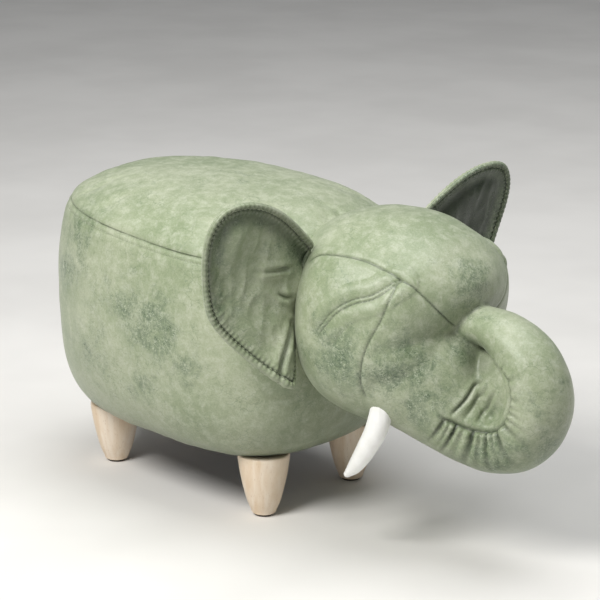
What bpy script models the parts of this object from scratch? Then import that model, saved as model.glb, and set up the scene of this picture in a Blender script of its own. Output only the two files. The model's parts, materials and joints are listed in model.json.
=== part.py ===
"""Elephant footstool: an upholstered oval seat on four turned legs, with a stuffed head, a curled
trunk, tusks, ears and a tail.

Metres, +Z up, floor at z = 0, the elephant faces +X and its left side is +Y.
"""

import math

import bmesh
import bpy
from mathutils import Matrix, Vector

# ---------------------------------------------------------------- driving sizes
STOOL_X = -0.1210  # middle of the four legs, behind the middle of the whole length
LEG_PITCH_X = 0.2505  # leg centre to leg centre, along the body
LEG_PITCH_Y = 0.1490  # and across it
LEG_TOP_Z = 0.0755
LEG_TOP_R = 0.0300
LEG_FOOT_R = 0.0150
GLIDE_T = 0.0020

SKIN = 0.0018  # leatherette with its backing
GAP = 0.0004  # clearance between neighbouring pieces
BODY_FLOOR_Z = 0.0760
SEAM_Z = 0.3180  # where the side wall is sewn to the seat cover
BOARD_T = 0.0120
SEAT_BOARD_T = 0.0090
BOARD_Z = BODY_FLOOR_Z + SKIN + 0.0012
SEAT_BOARD_Z = 0.3012
ROUND = 40  # points round the body
LEAN = 0.068  # fall of the seat seam towards the head, per metre of length
CROWN_LEAN = 0.018  # and of the crown
TAPER = 0.05  # the body is wider at the shoulders than at the rear

EAR_T = 0.0150
BOLT_R = 0.0040

# Side wall of the body: height, half length, half width, shift forward, squareness.
WALL = (
    (BODY_FLOOR_Z, 0.1640, 0.1185, -0.006, 3.0),
    (0.0830, 0.1750, 0.1300, -0.006, 2.9),
    (0.1000, 0.1900, 0.1440, -0.007, 2.8),
    (0.1300, 0.2020, 0.1565, -0.007, 2.7),
    (0.1750, 0.2080, 0.1635, -0.007, 2.6),
    (0.2200, 0.2090, 0.1655, -0.007, 2.6),
    (0.2650, 0.2065, 0.1640, -0.006, 2.6),
    (0.2980, 0.2020, 0.1580, -0.004, 2.6),
    (SEAM_Z, 0.1965, 0.1510, -0.002, 2.6),
)
# Seat dome, the same columns, from the seam to the crown.
DOME = (
    (SEAM_Z, 0.1965, 0.1510, -0.002, 2.6),
    (0.3330, 0.1880, 0.1410, -0.001, 2.5),
    (0.3450, 0.1710, 0.1230, 0.000, 2.4),
    (0.3530, 0.1410, 0.0980, 0.001, 2.3),
    (0.3580, 0.1010, 0.0680, 0.001, 2.2),
    (0.3610, 0.0500, 0.0340, 0.001, 2.0),
)
CROWN_Z = 0.3620

# Head, from the neck to the forehead: x and z from the middle of the legs, then the reach of the
# upright section upwards, downwards and to each side.
HEAD = (
    (0.150, 0.252, 0.080, 0.072, 0.055),
    (0.178, 0.252, 0.096, 0.090, 0.072),
    (0.197, 0.252, 0.105, 0.100, 0.091),
    (0.212, 0.252, 0.109, 0.106, 0.110),
    (0.230, 0.251, 0.113, 0.111, 0.121),
    (0.255, 0.249, 0.116, 0.113, 0.125),
    (0.283, 0.245, 0.119, 0.110, 0.119),
    (0.310, 0.246, 0.111, 0.076, 0.109),
    (0.334, 0.268, 0.079, 0.036, 0.092),
    (0.352, 0.284, 0.050, 0.018, 0.071),
    (0.366, 0.290, 0.030, 0.012, 0.046),
    (0.373, 0.294, 0.014, 0.007, 0.021),
)
# Muzzle and trunk, along their curled middle line: x, z, then the reach of the section across the
# line, towards the inside of the curl, to the outside, and to each side.
TRUNK = (
    (0.255, 0.232, 0.075, 0.075, 0.102),
    (0.290, 0.212, 0.078, 0.074, 0.104),
    (0.320, 0.190, 0.072, 0.065, 0.092),
    (0.348, 0.168, 0.060, 0.053, 0.075),
    (0.375, 0.150, 0.047, 0.042, 0.060),
    (0.402, 0.142, 0.038, 0.036, 0.050),
    (0.426, 0.149, 0.035, 0.035, 0.043),
    (0.444, 0.169, 0.032, 0.034, 0.041),
    (0.452, 0.197, 0.030, 0.033, 0.039),
    (0.444, 0.225, 0.028, 0.031, 0.037),
    (0.426, 0.245, 0.025, 0.028, 0.034),
    (0.403, 0.257, 0.022, 0.024, 0.030),
    (0.383, 0.261, 0.0185, 0.020, 0.025),
    (0.370, 0.260, 0.0165, 0.0175, 0.0225),
    (0.361, 0.259, 0.0120, 0.0125, 0.0165),
    (0.357, 0.2585, 0.0055, 0.0055, 0.0080),
)
# The side panel that closes the middle of the curl: centre and half sizes.
CURL_PANEL = ((0.402, 0.0, 0.200), (0.044, 0.031, 0.048))
HEAD_SQUARENESS = 2.2

# Ear, rows from the low tip to the top edge; each row runs from the sewn root to the outer rim.
EAR = (
    ((0.201, 0.106, 0.208), (0.206, 0.115, 0.197), (0.213, 0.126, 0.190), (0.218, 0.137, 0.189)),
    ((0.200, 0.107, 0.238), (0.206, 0.124, 0.225), (0.207, 0.143, 0.214), (0.203, 0.159, 0.209)),
    ((0.200, 0.107, 0.272), (0.199, 0.136, 0.264), (0.187, 0.169, 0.256), (0.178, 0.198, 0.251)),
    ((0.202, 0.104, 0.305), (0.196, 0.140, 0.312), (0.180, 0.182, 0.313), (0.180, 0.220, 0.304)),
    ((0.206, 0.097, 0.331), (0.204, 0.136, 0.356), (0.195, 0.182, 0.365), (0.190, 0.232, 0.362)),
    ((0.211, 0.090, 0.344), (0.214, 0.128, 0.380), (0.212, 0.170, 0.401), (0.202, 0.213, 0.400)),
)
EAR_HINGE_LOW = (0.200, 0.107, 0.210)
EAR_HINGE_HIGH = (0.206, 0.096, 0.335)
EAR_ROOT_SHARE = 0.4  # thickness at the sewn root, as a share of EAR_T
LEFT_EAR_TURN = 18.0  # degrees the left ear stands further forward than the right
LEFT_EAR_DROOP = 2.0  # and leans lower
LEFT_EAR_DROP = 0.0100  # and is sewn on lower

# Tusk: middle line and radius, from inside the cheek to the tip.
TUSK = (
    ((0.306, 0.0860, 0.205), 0.0110),
    ((0.308, 0.0880, 0.185), 0.0130),
    ((0.305, 0.0900, 0.153), 0.0135),
    ((0.291, 0.0900, 0.124), 0.0115),
    ((0.277, 0.0900, 0.103), 0.0085),
    ((0.266, 0.0900, 0.091), 0.0040),
)

# Tail: a narrow sewn cord with a soft tuft, hanging from the rear of the body.
TAIL = (
    ((-0.2115, 0.0, 0.2800), 0.0050),
    ((-0.2210, 0.0, 0.2740), 0.0055),
    ((-0.2265, 0.0, 0.2580), 0.0055),
    ((-0.2300, 0.0, 0.2360), 0.0055),
    ((-0.2310, 0.0, 0.2130), 0.0055),
    ((-0.2310, 0.0, 0.1980), 0.0050),
)
TUFT = (
    ((-0.2310, 0.0, 0.2050), 0.0080),
    ((-0.2310, 0.0, 0.1960), 0.0110),
    ((-0.2310, 0.0, 0.1820), 0.0120),
    ((-0.2310, 0.0, 0.1640), 0.0085),
    ((-0.2310, 0.0, 0.1540), 0.0030),
)

# ---------------------------------------------------------------- scene set-up
for old in list(bpy.data.objects):
    bpy.data.objects.remove(old, do_unlink=True)
bpy.context.scene.unit_settings.system = "METRIC"
bpy.context.scene.unit_settings.scale_length = 1.0

stool = bpy.data.collections.new("elephant_footstool")
cutters = bpy.data.collections.new("cutters")
cutters.hide_render = True
for collection in (stool, cutters):
    bpy.context.scene.collection.children.link(collection)


def material(name, colour, rough, metal=0.0, sheen=0.0):
    mat = bpy.data.materials.new(name)
    mat.use_nodes = True
    shader = mat.node_tree.nodes["Principled BSDF"]
    shader.inputs["Base Color"].default_value = (*colour, 1)
    shader.inputs["Roughness"].default_value = rough
    shader.inputs["Metallic"].default_value = metal
    shader.inputs["Sheen Weight"].default_value = sheen
    mat.diffuse_color = (*colour, 1)
    return mat


LEATHERETTE = dict(colour=(0.36, 0.42, 0.29), rough=0.6, sheen=0.2)
SATIN = dict(colour=(0.86, 0.85, 0.82), rough=0.4, sheen=0.3)
BEECH = dict(colour=(0.74, 0.53, 0.34), rough=0.45)
PLY = dict(colour=(0.60, 0.44, 0.27), rough=0.7)
FOAM = dict(colour=(0.85, 0.80, 0.60), rough=0.95)
FIBRE = dict(colour=(0.90, 0.90, 0.88), rough=1.0)
STEEL = dict(colour=(0.62, 0.62, 0.60), rough=0.35, metal=1.0)
FELT = dict(colour=(0.20, 0.17, 0.14), rough=1.0)
NONWOVEN = dict(colour=(0.02, 0.02, 0.02), rough=0.9)


def placed(name, data, look=None):
    """An object of the stool with its look; without a look it is a cutter."""
    obj = bpy.data.objects.new(name, data)
    if look:
        stool.objects.link(obj)
        data.materials.append(material(name, **look))
    else:
        cutters.objects.link(obj)
        obj.hide_render = True
        obj.display_type = "WIRE"
    return obj


def piece(name, verts, faces, look=None, edges=()):
    mesh = bpy.data.meshes.new(name)
    mesh.from_pydata([tuple(v) for v in verts], edges, faces)
    mesh.update()
    return placed(name, mesh, look)


def from_bmesh(name, shape, look=None):
    mesh = bpy.data.meshes.new(name)
    shape.to_mesh(mesh)
    shape.free()
    return placed(name, mesh, look)


def loft(name, rings, look=None, closed_loop=False):
    """Skin rings of equal length. Ends are closed by a fan, unless the last ring runs back to the first."""
    count = len(rings[0])
    verts = [p for ring in rings for p in ring]
    faces = []
    pairs = list(zip(range(len(rings) - 1), range(1, len(rings))))
    if closed_loop:
        pairs.append((len(rings) - 1, 0))
    for a, b in pairs:
        for i in range(count):
            j = (i + 1) % count
            # Split by hand, so that nested layers all fold along the same diagonals.
            faces.append((a * count + i, a * count + j, b * count + j))
            faces.append((a * count + i, b * count + j, b * count + i))
    if not closed_loop:
        for ring, flip in ((0, True), (len(rings) - 1, False)):
            centre = sum((Vector(p) for p in rings[ring]), Vector()) / count
            verts.append(centre)
            hub = len(verts) - 1
            for i in range(count):
                a, b = ring * count + i, ring * count + (i + 1) % count
                faces.append((hub, b, a) if flip else (hub, a, b))
    return piece(name, verts, faces, look)


def oval(z, half_x, half_y, shift, square, inset=0.0, lean=0.0, count=ROUND):
    """A superellipse ring about the stool's middle, counter-clockwise from above."""
    ring = []
    for i in range(count):
        turn = 2 * math.pi * i / count
        c, s = math.cos(turn), math.sin(turn)
        along = math.copysign(abs(c) ** (2 / square), c)
        x = shift + (half_x - inset) * along
        y = (half_y * (1 + TAPER * along) - inset) * math.copysign(abs(s) ** (2 / square), s)
        ring.append(Vector((STOOL_X + x, y, z - lean * x)))
    return ring


def lean_at(z):
    """How steeply the covers fall towards the head at this height."""
    if z <= SEAM_Z:
        return LEAN * max(0.0, z - BODY_FLOOR_Z) / (SEAM_Z - BODY_FLOOR_Z)
    return LEAN + (CROWN_LEAN - LEAN) * (z - SEAM_Z) / (CROWN_Z - SEAM_Z)


def between(rows, z):
    """The row of a size table at height z, by linear interpolation."""
    for low, high in zip(rows, rows[1:]):
        if low[0] <= z <= high[0]:
            t = (z - low[0]) / (high[0] - low[0])
            return tuple(a + (b - a) * t for a, b in zip(low, high))
    return rows[0] if z < rows[0][0] else rows[-1]


def circle(centre, radius, count=16, along=Vector((0, 0, 1)), across=Vector((1, 0, 0))):
    side = along.cross(across).normalized()
    front = side.cross(along).normalized()
    turns = [2 * math.pi * i / count for i in range(count)]
    return [Vector(centre) + radius * (math.cos(turn) * front + math.sin(turn) * side) for turn in turns]


def turned(name, x, y, profile, look=None, count=16):
    """A solid of revolution about a vertical line, from (radius, height) pairs going up."""
    half = [(0.0, profile[-1][1]), *profile[::-1], (0.0, profile[0][1])]
    edges = [(i, i + 1) for i in range(len(half) - 1)]
    obj = piece(name, [(r, 0.0, z) for r, z in half], [], look, edges)
    obj.location = (x, y, 0)
    screw = obj.modifiers.new("turn", "SCREW")
    screw.steps = screw.render_steps = count
    screw.use_merge_vertices = True
    screw.merge_threshold = 0.00005
    return obj


def block(name, centre, size, look):
    shape = bmesh.new()
    bmesh.ops.create_cube(shape, size=1, matrix=Matrix.LocRotScale(Vector(centre), None, Vector(size)))
    return from_bmesh(name, shape, look)


def boolean(obj, cutter, operation="DIFFERENCE"):
    modifier = obj.modifiers.new(f"{operation.lower()}_{cutter.name}", "BOOLEAN")
    modifier.operation = operation
    modifier.solver = "EXACT"
    modifier.object = cutter
    return obj


def smooth_rows(rows, steps):
    """Rows of numbers, filled in between by a Catmull-Rom curve."""
    out = []
    for i in range(len(rows) - 1):
        p = [rows[max(i - 1, 0)], rows[i], rows[i + 1], rows[min(i + 2, len(rows) - 1)]]
        for k in range(steps):
            t = k / steps
            row = []
            for a, b, c, d in zip(*p):
                bend = (2 * a - 5 * b + 4 * c - d) * t**2 + (3 * b - a - 3 * c + d) * t**3
                row.append(0.5 * (2 * b + (c - a) * t + bend))
            out.append(tuple(row))
    return out + [tuple(rows[-1])]


def sections(rows, inset=0.0, steps=1, count=20, square=2.0, stretch=0.0, upright=False):
    """Rings round a curved middle line in the plane y = 0. They stand across the line, or upright."""
    rows = smooth_rows(rows, steps)
    rings = []
    for i, (x, z, front, under, side) in enumerate(rows):
        before, after = rows[max(i - 1, 0)], rows[min(i + 1, len(rows) - 1)]
        along = Vector((after[0] - before[0], 0, 0 if upright else after[1] - before[1])).normalized()
        up = Vector((-along.z, 0, along.x))
        centre = Vector((STOOL_X + x, 0, z))
        if i == 0:
            centre -= along * stretch
        if i == len(rows) - 1:
            centre -= along * inset
        ring = []
        for k in range(count):
            turn = 2 * math.pi * k / count
            c, s = math.cos(turn), math.sin(turn)
            reach = (front if c > 0 else under) - inset
            ring.append(
                centre
                + up * reach * math.copysign(abs(c) ** (2 / square), c)
                + Vector((0, -1, 0)) * (side - inset) * math.copysign(abs(s) ** (2 / square), s)
            )
        rings.append(ring)
    return rings


def ellipsoid(name, centre, half, inset=0.0):
    middle = Vector(centre) + Vector((STOOL_X, 0, 0))
    shape = bmesh.new()
    bmesh.ops.create_uvsphere(
        shape,
        u_segments=16,
        v_segments=8,
        radius=1,
        matrix=Matrix.LocRotScale(middle, None, Vector([h - inset for h in half])),
    )
    return from_bmesh(name, shape)


# ---------------------------------------------------------------- body covers
def leaning(row, inset=0.0):
    return oval(*row, inset=inset, lean=lean_at(row[0]))


def tube_of(name, outer, inner, look):
    return loft(name, outer + inner[::-1], look, closed_loop=True)


hem = (BODY_FLOOR_Z, 0.1600, 0.1150, -0.006, 3.0)
wall_out = [oval(*hem)] + [leaning(row) for row in WALL]
wall_in = [oval(BODY_FLOOR_Z + SKIN, *hem[1:])] + [
    leaning((row[0] + (SKIN if i == 0 else 0), *row[1:]), SKIN) for i, row in enumerate(WALL)
]
body_cover = tube_of("body_cover", wall_out, wall_in, LEATHERETTE)


def dome(inset):
    """Rings of the seat dome, from the seam to just under the crown."""
    rings = []
    for i, row in enumerate(DOME):
        drop = inset * min(1.0, i / 3)
        side = inset * (1.0 if i < 3 else 0.5)
        rings.append(oval(row[0] - drop, *row[1:], inset=side, lean=lean_at(row[0])))
    return rings


def domed_solid(name, inset, look=None, skirt=None):
    """The dome as a solid, with a ring below it if its underside lies deeper than the seam."""
    rings = dome(inset)
    if skirt:
        rings.insert(0, skirt)
    else:
        rings[0] = [p + Vector((0, 0, GAP)) for p in rings[0]]
    obj = loft(name, rings, look)
    obj.data.vertices[-1].co.z = CROWN_Z - inset
    return obj


seat_cover = domed_solid("seat_cover", 0.0, LEATHERETTE)
boolean(
    seat_cover,
    domed_solid("seat_hollow", SKIN, None, [p - Vector((0, 0, 0.010)) for p in dome(SKIN)[0]]),
)
domed_solid(
    "seat_foam",
    SKIN + GAP,
    FOAM,
    oval(SEAT_BOARD_Z + SEAT_BOARD_T + GAP, 0.1900, 0.1440, -0.002, 2.6),
)

# ---------------------------------------------------------------- frame and padding inside
base_board = loft(
    "base_board",
    [oval(z, 0.1600, 0.1140, -0.006, 3.0) for z in (BOARD_Z, BOARD_Z + BOARD_T)],
    PLY,
)
dust_cover = loft(
    "dust_cover",
    [oval(z, 0.1592, 0.1142, -0.006, 3.0) for z in (BODY_FLOOR_Z + 0.0004, BODY_FLOOR_Z + 0.0012)],
    NONWOVEN,
)
seat_board = loft(
    "seat_board",
    [oval(z, 0.1660, 0.1220, -0.006, 3.0) for z in (SEAT_BOARD_Z, SEAT_BOARD_Z + SEAT_BOARD_T)],
    PLY,
)
frame_low = BOARD_Z + BOARD_T + GAP
frame_high = SEAT_BOARD_Z - GAP
for side_name, sy in (("right", -1), ("left", 1)):
    for end_name, sx in (("front", 1), ("rear", -1)):
        block(
            f"post_{end_name}_{side_name}",
            (STOOL_X + sx * 0.075, sy * 0.090, (frame_low + frame_high) / 2),
            (0.030, 0.022, frame_high - frame_low),
            PLY,
        )
block(
    "head_board",
    (STOOL_X + 0.1390, 0, (frame_low + frame_high) / 2),
    (0.012, 0.130, frame_high - frame_low),
    PLY,
)
foam_heights = (frame_low, 0.0980, 0.1300, 0.1750, 0.2200, 0.2650, 0.2960)
tube_of(
    "side_foam",
    [leaning(between(WALL, z), SKIN + GAP + 0.0012) for z in foam_heights],
    [leaning((z, 0.1700, 0.1260, -0.006, 3.0)) for z in (frame_low, 0.2960)],
    FOAM,
)

# ---------------------------------------------------------------- legs
leg_profile = [(LEG_FOOT_R - 0.0030, GLIDE_T + GAP)]
leg_profile += [
    (LEG_FOOT_R - 0.0008, GLIDE_T + 0.0014),
    (LEG_FOOT_R, GLIDE_T + 0.0036),
    (0.0196, 0.0180),
    (0.0237, 0.0340),
    (0.0270, 0.0500),
    (0.0291, 0.0640),
    (LEG_TOP_R, 0.0700),
    (LEG_TOP_R - 0.0008, LEG_TOP_Z),
]
for end_name, sx in (("front", 1), ("rear", -1)):
    for side_name, sy in (("right", -1), ("left", 1)):
        where = f"{end_name}_{side_name}"
        x, y = STOOL_X + sx * LEG_PITCH_X / 2, sy * LEG_PITCH_Y / 2
        leg = turned(f"leg_{where}", x, y, leg_profile, BEECH, 24)
        bore_r = BOLT_R + 0.0003
        bore = [(bore_r, 0.0395), (bore_r, LEG_TOP_Z + 0.01)]
        boolean(leg, turned(f"leg_bore_{where}", x, y, bore, None, 12))
        turned(
            f"leg_bolt_{where}",
            x,
            y,
            [(BOLT_R - 0.0015, 0.0400), (BOLT_R, 0.0430), (BOLT_R, 0.0985), (BOLT_R - 0.0010, 0.1000)],
            STEEL,
            12,
        )
        turned(f"leg_glide_{where}", x, y, [(0.0110, 0.0), (0.0110, GLIDE_T)], FELT, 20)
        flange_z = BOARD_Z + BOARD_T + GAP
        nut = turned(
            f"leg_nut_{where}",
            x,
            y,
            [(0.0056, BOARD_Z + 0.0015), (0.0056, flange_z), (0.0105, flange_z), (0.0105, flange_z + 0.0015)],
            STEEL,
            12,
        )
        thread_r = BOLT_R + 0.0004
        thread = [(thread_r, BOARD_Z - 0.01), (thread_r, flange_z + 0.01)]
        boolean(nut, turned(f"nut_bore_{where}", x, y, thread, None, 12))
        hole = [(0.0061, BOARD_Z - 0.005), (0.0061, flange_z + 0.005)]
        boolean(base_board, turned(f"board_hole_{where}", x, y, hole, None, 12))
        hole_r = BOLT_R + 0.0008
        small = [(hole_r, BODY_FLOOR_Z - 0.005), (hole_r, BODY_FLOOR_Z + 0.0025)]
        boolean(dust_cover, turned(f"dust_hole_{where}", x, y, small, None, 12))

# ---------------------------------------------------------------- head and trunk
body_block = loft(
    "body_block",
    [leaning(row, -GAP) for row in WALL]
    + [oval(row[0] + GAP, *row[1:], inset=-GAP, lean=lean_at(row[0])) for row in DOME[1:]],
)


def head_solid(name, inset, look=None, neck_stretch=0.0):
    obj = loft(name, sections(HEAD, inset, 1, 24, HEAD_SQUARENESS, neck_stretch, True), look)
    boolean(obj, loft(f"{name}_trunk", sections(TRUNK, inset, 1, 20, 2.0)), "UNION")
    boolean(obj, ellipsoid(f"{name}_curl", *CURL_PANEL, inset), "UNION")
    return obj


head_hollow = head_solid("head_hollow", SKIN, None, 0.02)
head_cover = head_solid("head_cover", 0.0, LEATHERETTE)
boolean(head_cover, head_hollow)
boolean(head_cover, body_block)
head_filling = head_solid("head_filling", SKIN + GAP, FIBRE)
boolean(head_filling, body_block)

# ---------------------------------------------------------------- ears
EAR_EDGE = 0.0045  # the padding stops this far inside the rim of the sheet


def ear_points(sy, edge=0.0, root=0.0):
    """The ear's sheet, pulled in from its free edges by edge, and its root moved outwards by root."""
    rows = [[Vector(p) for p in row] for row in EAR]
    pulled = [[p.copy() for p in row] for row in rows]
    for r, row in enumerate(rows):
        pulled[r][-1] += (row[-2] - row[-1]).normalized() * edge
        pulled[r][0] += (row[0] - row[1]).normalized() * root
    for c in range(len(rows[0])):
        pulled[0][c] += (rows[1][c] - rows[0][c]).normalized() * edge
        pulled[-1][c] += (rows[-2][c] - rows[-1][c]).normalized() * edge
    points = [p for row in pulled for p in row]
    if sy > 0:
        low, high = Vector(EAR_HINGE_LOW), Vector(EAR_HINGE_HIGH)
        turn = Matrix.Rotation(math.radians(-LEFT_EAR_TURN), 3, (high - low).normalized())
        droop = Matrix.Rotation(math.radians(-LEFT_EAR_DROOP), 3, "X")
        drop = Vector((0, 0, LEFT_EAR_DROP))
        points = [low - drop + droop @ (turn @ (p - low)) for p in points]
    return [(STOOL_X + p.x, sy * p.y, p.z) for p in points]


def ear_layer(name, sy, thick, edge, root, share, look=None):
    columns = len(EAR[0])
    faces = []
    for r in range(len(EAR) - 1):
        for c in range(columns - 1):
            a = r * columns + c
            quad = (a, a + 1, a + 1 + columns, a + columns)
            faces.append(quad if sy < 0 else quad[::-1])
    ear = piece(name, ear_points(sy, edge, root), faces, look)
    full = ear.vertex_groups.new(name="full")
    full.add(range(len(ear.data.vertices)), 1.0, "REPLACE")
    full.add(range(0, len(ear.data.vertices), columns), share, "REPLACE")
    solid = ear.modifiers.new("thickness", "SOLIDIFY")
    solid.thickness = thick
    solid.offset = 0
    solid.vertex_group = "full"
    soft = ear.modifiers.new("round", "SUBSURF")
    soft.levels = soft.render_levels = 1
    return ear


for side_name, sy in (("right", -1), ("left", 1)):
    ear = ear_layer(f"ear_{side_name}", sy, EAR_T, 0.0, 0.0, EAR_ROOT_SHARE, LEATHERETTE)
    boolean(ear, ear_layer(f"ear_hollow_{side_name}", sy, EAR_T - 2 * SKIN, EAR_EDGE, 0.012, 0.25))
    ear_layer(
        f"ear_padding_{side_name}", sy, EAR_T - 2 * SKIN - 4 * GAP, EAR_EDGE + 0.0028, -0.0020, 0.18, FIBRE
    )


# ---------------------------------------------------------------- tusks and tail
def cord_rings(points, sy=1, inset=0.0, count=12, open_start=0.0):
    """Rings round a bent middle line given as ((x, y, z), radius) pairs."""
    rings = []
    last = len(points) - 1
    for i, (p, r) in enumerate(points):
        a = Vector(points[max(i - 1, 0)][0])
        b = Vector(points[min(i + 1, last)][0])
        along = (b - a).normalized()
        along.y *= sy
        centre = Vector((STOOL_X + p[0], sy * p[1], p[2]))
        if i == 0:
            centre -= along * open_start
        if i == last:
            centre -= along * inset
        rings.append(circle(centre, r - inset * (0.6 if i == last else 1), count, along))
    return rings


head_block = head_solid("head_block", -GAP)
for side_name, sy in (("right", -1), ("left", 1)):
    tusk = loft(f"tusk_{side_name}", cord_rings(TUSK, sy), SATIN)
    boolean(tusk, loft(f"tusk_hollow_{side_name}", cord_rings(TUSK, sy, 0.0012, open_start=0.02)))
    boolean(tusk, head_block)
    filling = loft(f"tusk_filling_{side_name}", cord_rings(TUSK, sy, 0.0016), FIBRE)
    boolean(filling, head_block)


def tube(name, points, extra=0.0, look=None):
    """A round tube along a bent line, with capped ends."""
    curve = bpy.data.curves.new(name, "CURVE")
    curve.dimensions = "3D"
    curve.bevel_depth = points[1][1] + extra
    curve.bevel_resolution = 1
    curve.use_fill_caps = True
    spline = curve.splines.new("POLY")
    spline.points.add(len(points) - 1)
    for spot, (p, r) in zip(spline.points, points):
        spot.co = (STOOL_X + p[0], p[1], p[2], 1)
        spot.radius = (r + extra) / curve.bevel_depth
    line = bpy.data.objects.new(name, curve)
    bpy.context.scene.collection.objects.link(line)
    mesh = bpy.data.meshes.new_from_object(line.evaluated_get(bpy.context.evaluated_depsgraph_get()))
    bpy.data.objects.remove(line, do_unlink=True)
    obj = placed(name, mesh, look)
    weld = obj.modifiers.new("caps", "WELD")
    weld.merge_threshold = 0.00002
    return obj


tail_cord = tube("tail_cord", TAIL, 0.0, LEATHERETTE)
boolean(tail_cord, body_block)
tuft_x = STOOL_X + TUFT[0][0][0]
tail_tuft = turned("tail_tuft", tuft_x, 0, [(r, p[2]) for p, r in TUFT[::-1]], LEATHERETTE, 12)
boolean(tail_tuft, tube("tuft_socket", TAIL[3:], GAP))
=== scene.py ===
"""Looks of the elephant footstool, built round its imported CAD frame.

Metres, +Z up, floor at z = 0, the elephant faces +X and its left side is +Y. Lengths along the body in the
tables below are measured from the middle of the four legs.
"""

import json
import math
import random

import bpy
import numpy as np
from mathutils import Matrix, Vector, noise
from mathutils.bvhtree import BVHTree
from mathutils.kdtree import KDTree

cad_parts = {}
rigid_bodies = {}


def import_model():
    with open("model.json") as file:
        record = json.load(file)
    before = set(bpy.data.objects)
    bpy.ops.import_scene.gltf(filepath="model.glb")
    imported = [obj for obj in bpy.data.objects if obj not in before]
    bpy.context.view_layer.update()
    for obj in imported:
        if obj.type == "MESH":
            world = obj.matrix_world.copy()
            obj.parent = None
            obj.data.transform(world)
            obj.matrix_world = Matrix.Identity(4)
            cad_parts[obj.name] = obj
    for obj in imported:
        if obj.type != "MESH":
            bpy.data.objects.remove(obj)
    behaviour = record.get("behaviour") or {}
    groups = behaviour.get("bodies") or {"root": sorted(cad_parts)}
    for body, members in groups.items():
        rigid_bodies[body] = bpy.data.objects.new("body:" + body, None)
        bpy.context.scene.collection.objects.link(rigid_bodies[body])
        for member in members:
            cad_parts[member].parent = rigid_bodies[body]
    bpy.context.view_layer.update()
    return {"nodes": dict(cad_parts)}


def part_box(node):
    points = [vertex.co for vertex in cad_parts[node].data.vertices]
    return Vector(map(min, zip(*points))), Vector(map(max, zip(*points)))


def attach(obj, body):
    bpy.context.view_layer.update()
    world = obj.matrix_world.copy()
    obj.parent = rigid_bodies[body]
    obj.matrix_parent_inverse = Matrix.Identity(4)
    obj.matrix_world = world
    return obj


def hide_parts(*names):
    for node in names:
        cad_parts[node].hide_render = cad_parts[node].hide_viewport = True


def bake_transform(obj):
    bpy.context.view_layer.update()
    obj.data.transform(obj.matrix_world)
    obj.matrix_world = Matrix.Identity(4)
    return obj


for old in list(bpy.data.objects):
    bpy.data.objects.remove(old, do_unlink=True)
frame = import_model()

# ---------------------------------------------------------------- places read from the frame
LEGS = [f"leg_{end}_{side}" for end in ("front", "rear") for side in ("right", "left")]


def middle(node):
    low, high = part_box(node)
    return (low + high) / 2


STOOL_X = sum(middle(leg).x for leg in LEGS) / 4
LEG_TOP_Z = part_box(LEGS[0])[1].z
BODY_FLOOR_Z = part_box("body_cover")[0].z
CROWN_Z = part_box("seat_cover")[1].z
SEAT_BOARD_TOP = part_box("seat_board")[1].z

# ---------------------------------------------------------------- sewn shapes
SEAM_Z = 0.3180
LEAN = 0.068
CROWN_LEAN = 0.018
TAPER = 0.05
# Side wall: height, half length, half width, shift forward, squareness.
WALL = (
    (0.0760, 0.1640, 0.1185, -0.006, 3.0),
    (0.0830, 0.1750, 0.1300, -0.006, 2.9),
    (0.1000, 0.1900, 0.1440, -0.007, 2.8),
    (0.1300, 0.2020, 0.1565, -0.007, 2.7),
    (0.1750, 0.2080, 0.1635, -0.007, 2.6),
    (0.2200, 0.2090, 0.1655, -0.007, 2.6),
    (0.2650, 0.2065, 0.1640, -0.006, 2.6),
    (0.2980, 0.2020, 0.1580, -0.004, 2.6),
    (0.3180, 0.1965, 0.1510, -0.002, 2.6),
)
# Seat dome, the same columns, from the seam to the crown.
DOME = (
    (0.3180, 0.1965, 0.1510, -0.002, 2.6),
    (0.3330, 0.1880, 0.1410, -0.001, 2.5),
    (0.3450, 0.1710, 0.1230, 0.000, 2.4),
    (0.3530, 0.1410, 0.0980, 0.001, 2.3),
    (0.3580, 0.1010, 0.0680, 0.001, 2.2),
    (0.3610, 0.0500, 0.0340, 0.001, 2.0),
    (0.3618, 0.0120, 0.0080, 0.001, 2.0),
)
# Upright sections of the head: x, z, then the reach upwards, downwards and to each side.
HEAD = (
    (0.150, 0.252, 0.080, 0.072, 0.060),
    (0.178, 0.252, 0.096, 0.090, 0.080),
    (0.197, 0.252, 0.105, 0.100, 0.100),
    (0.212, 0.252, 0.109, 0.106, 0.114),
    (0.230, 0.251, 0.113, 0.111, 0.122),
    (0.255, 0.249, 0.116, 0.113, 0.125),
    (0.283, 0.245, 0.119, 0.110, 0.119),
    (0.310, 0.246, 0.111, 0.092, 0.111),
    (0.334, 0.268, 0.079, 0.066, 0.096),
    (0.351, 0.283, 0.051, 0.044, 0.074),
    (0.365, 0.290, 0.031, 0.022, 0.047),
    (0.373, 0.294, 0.014, 0.007, 0.021),
)
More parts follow.
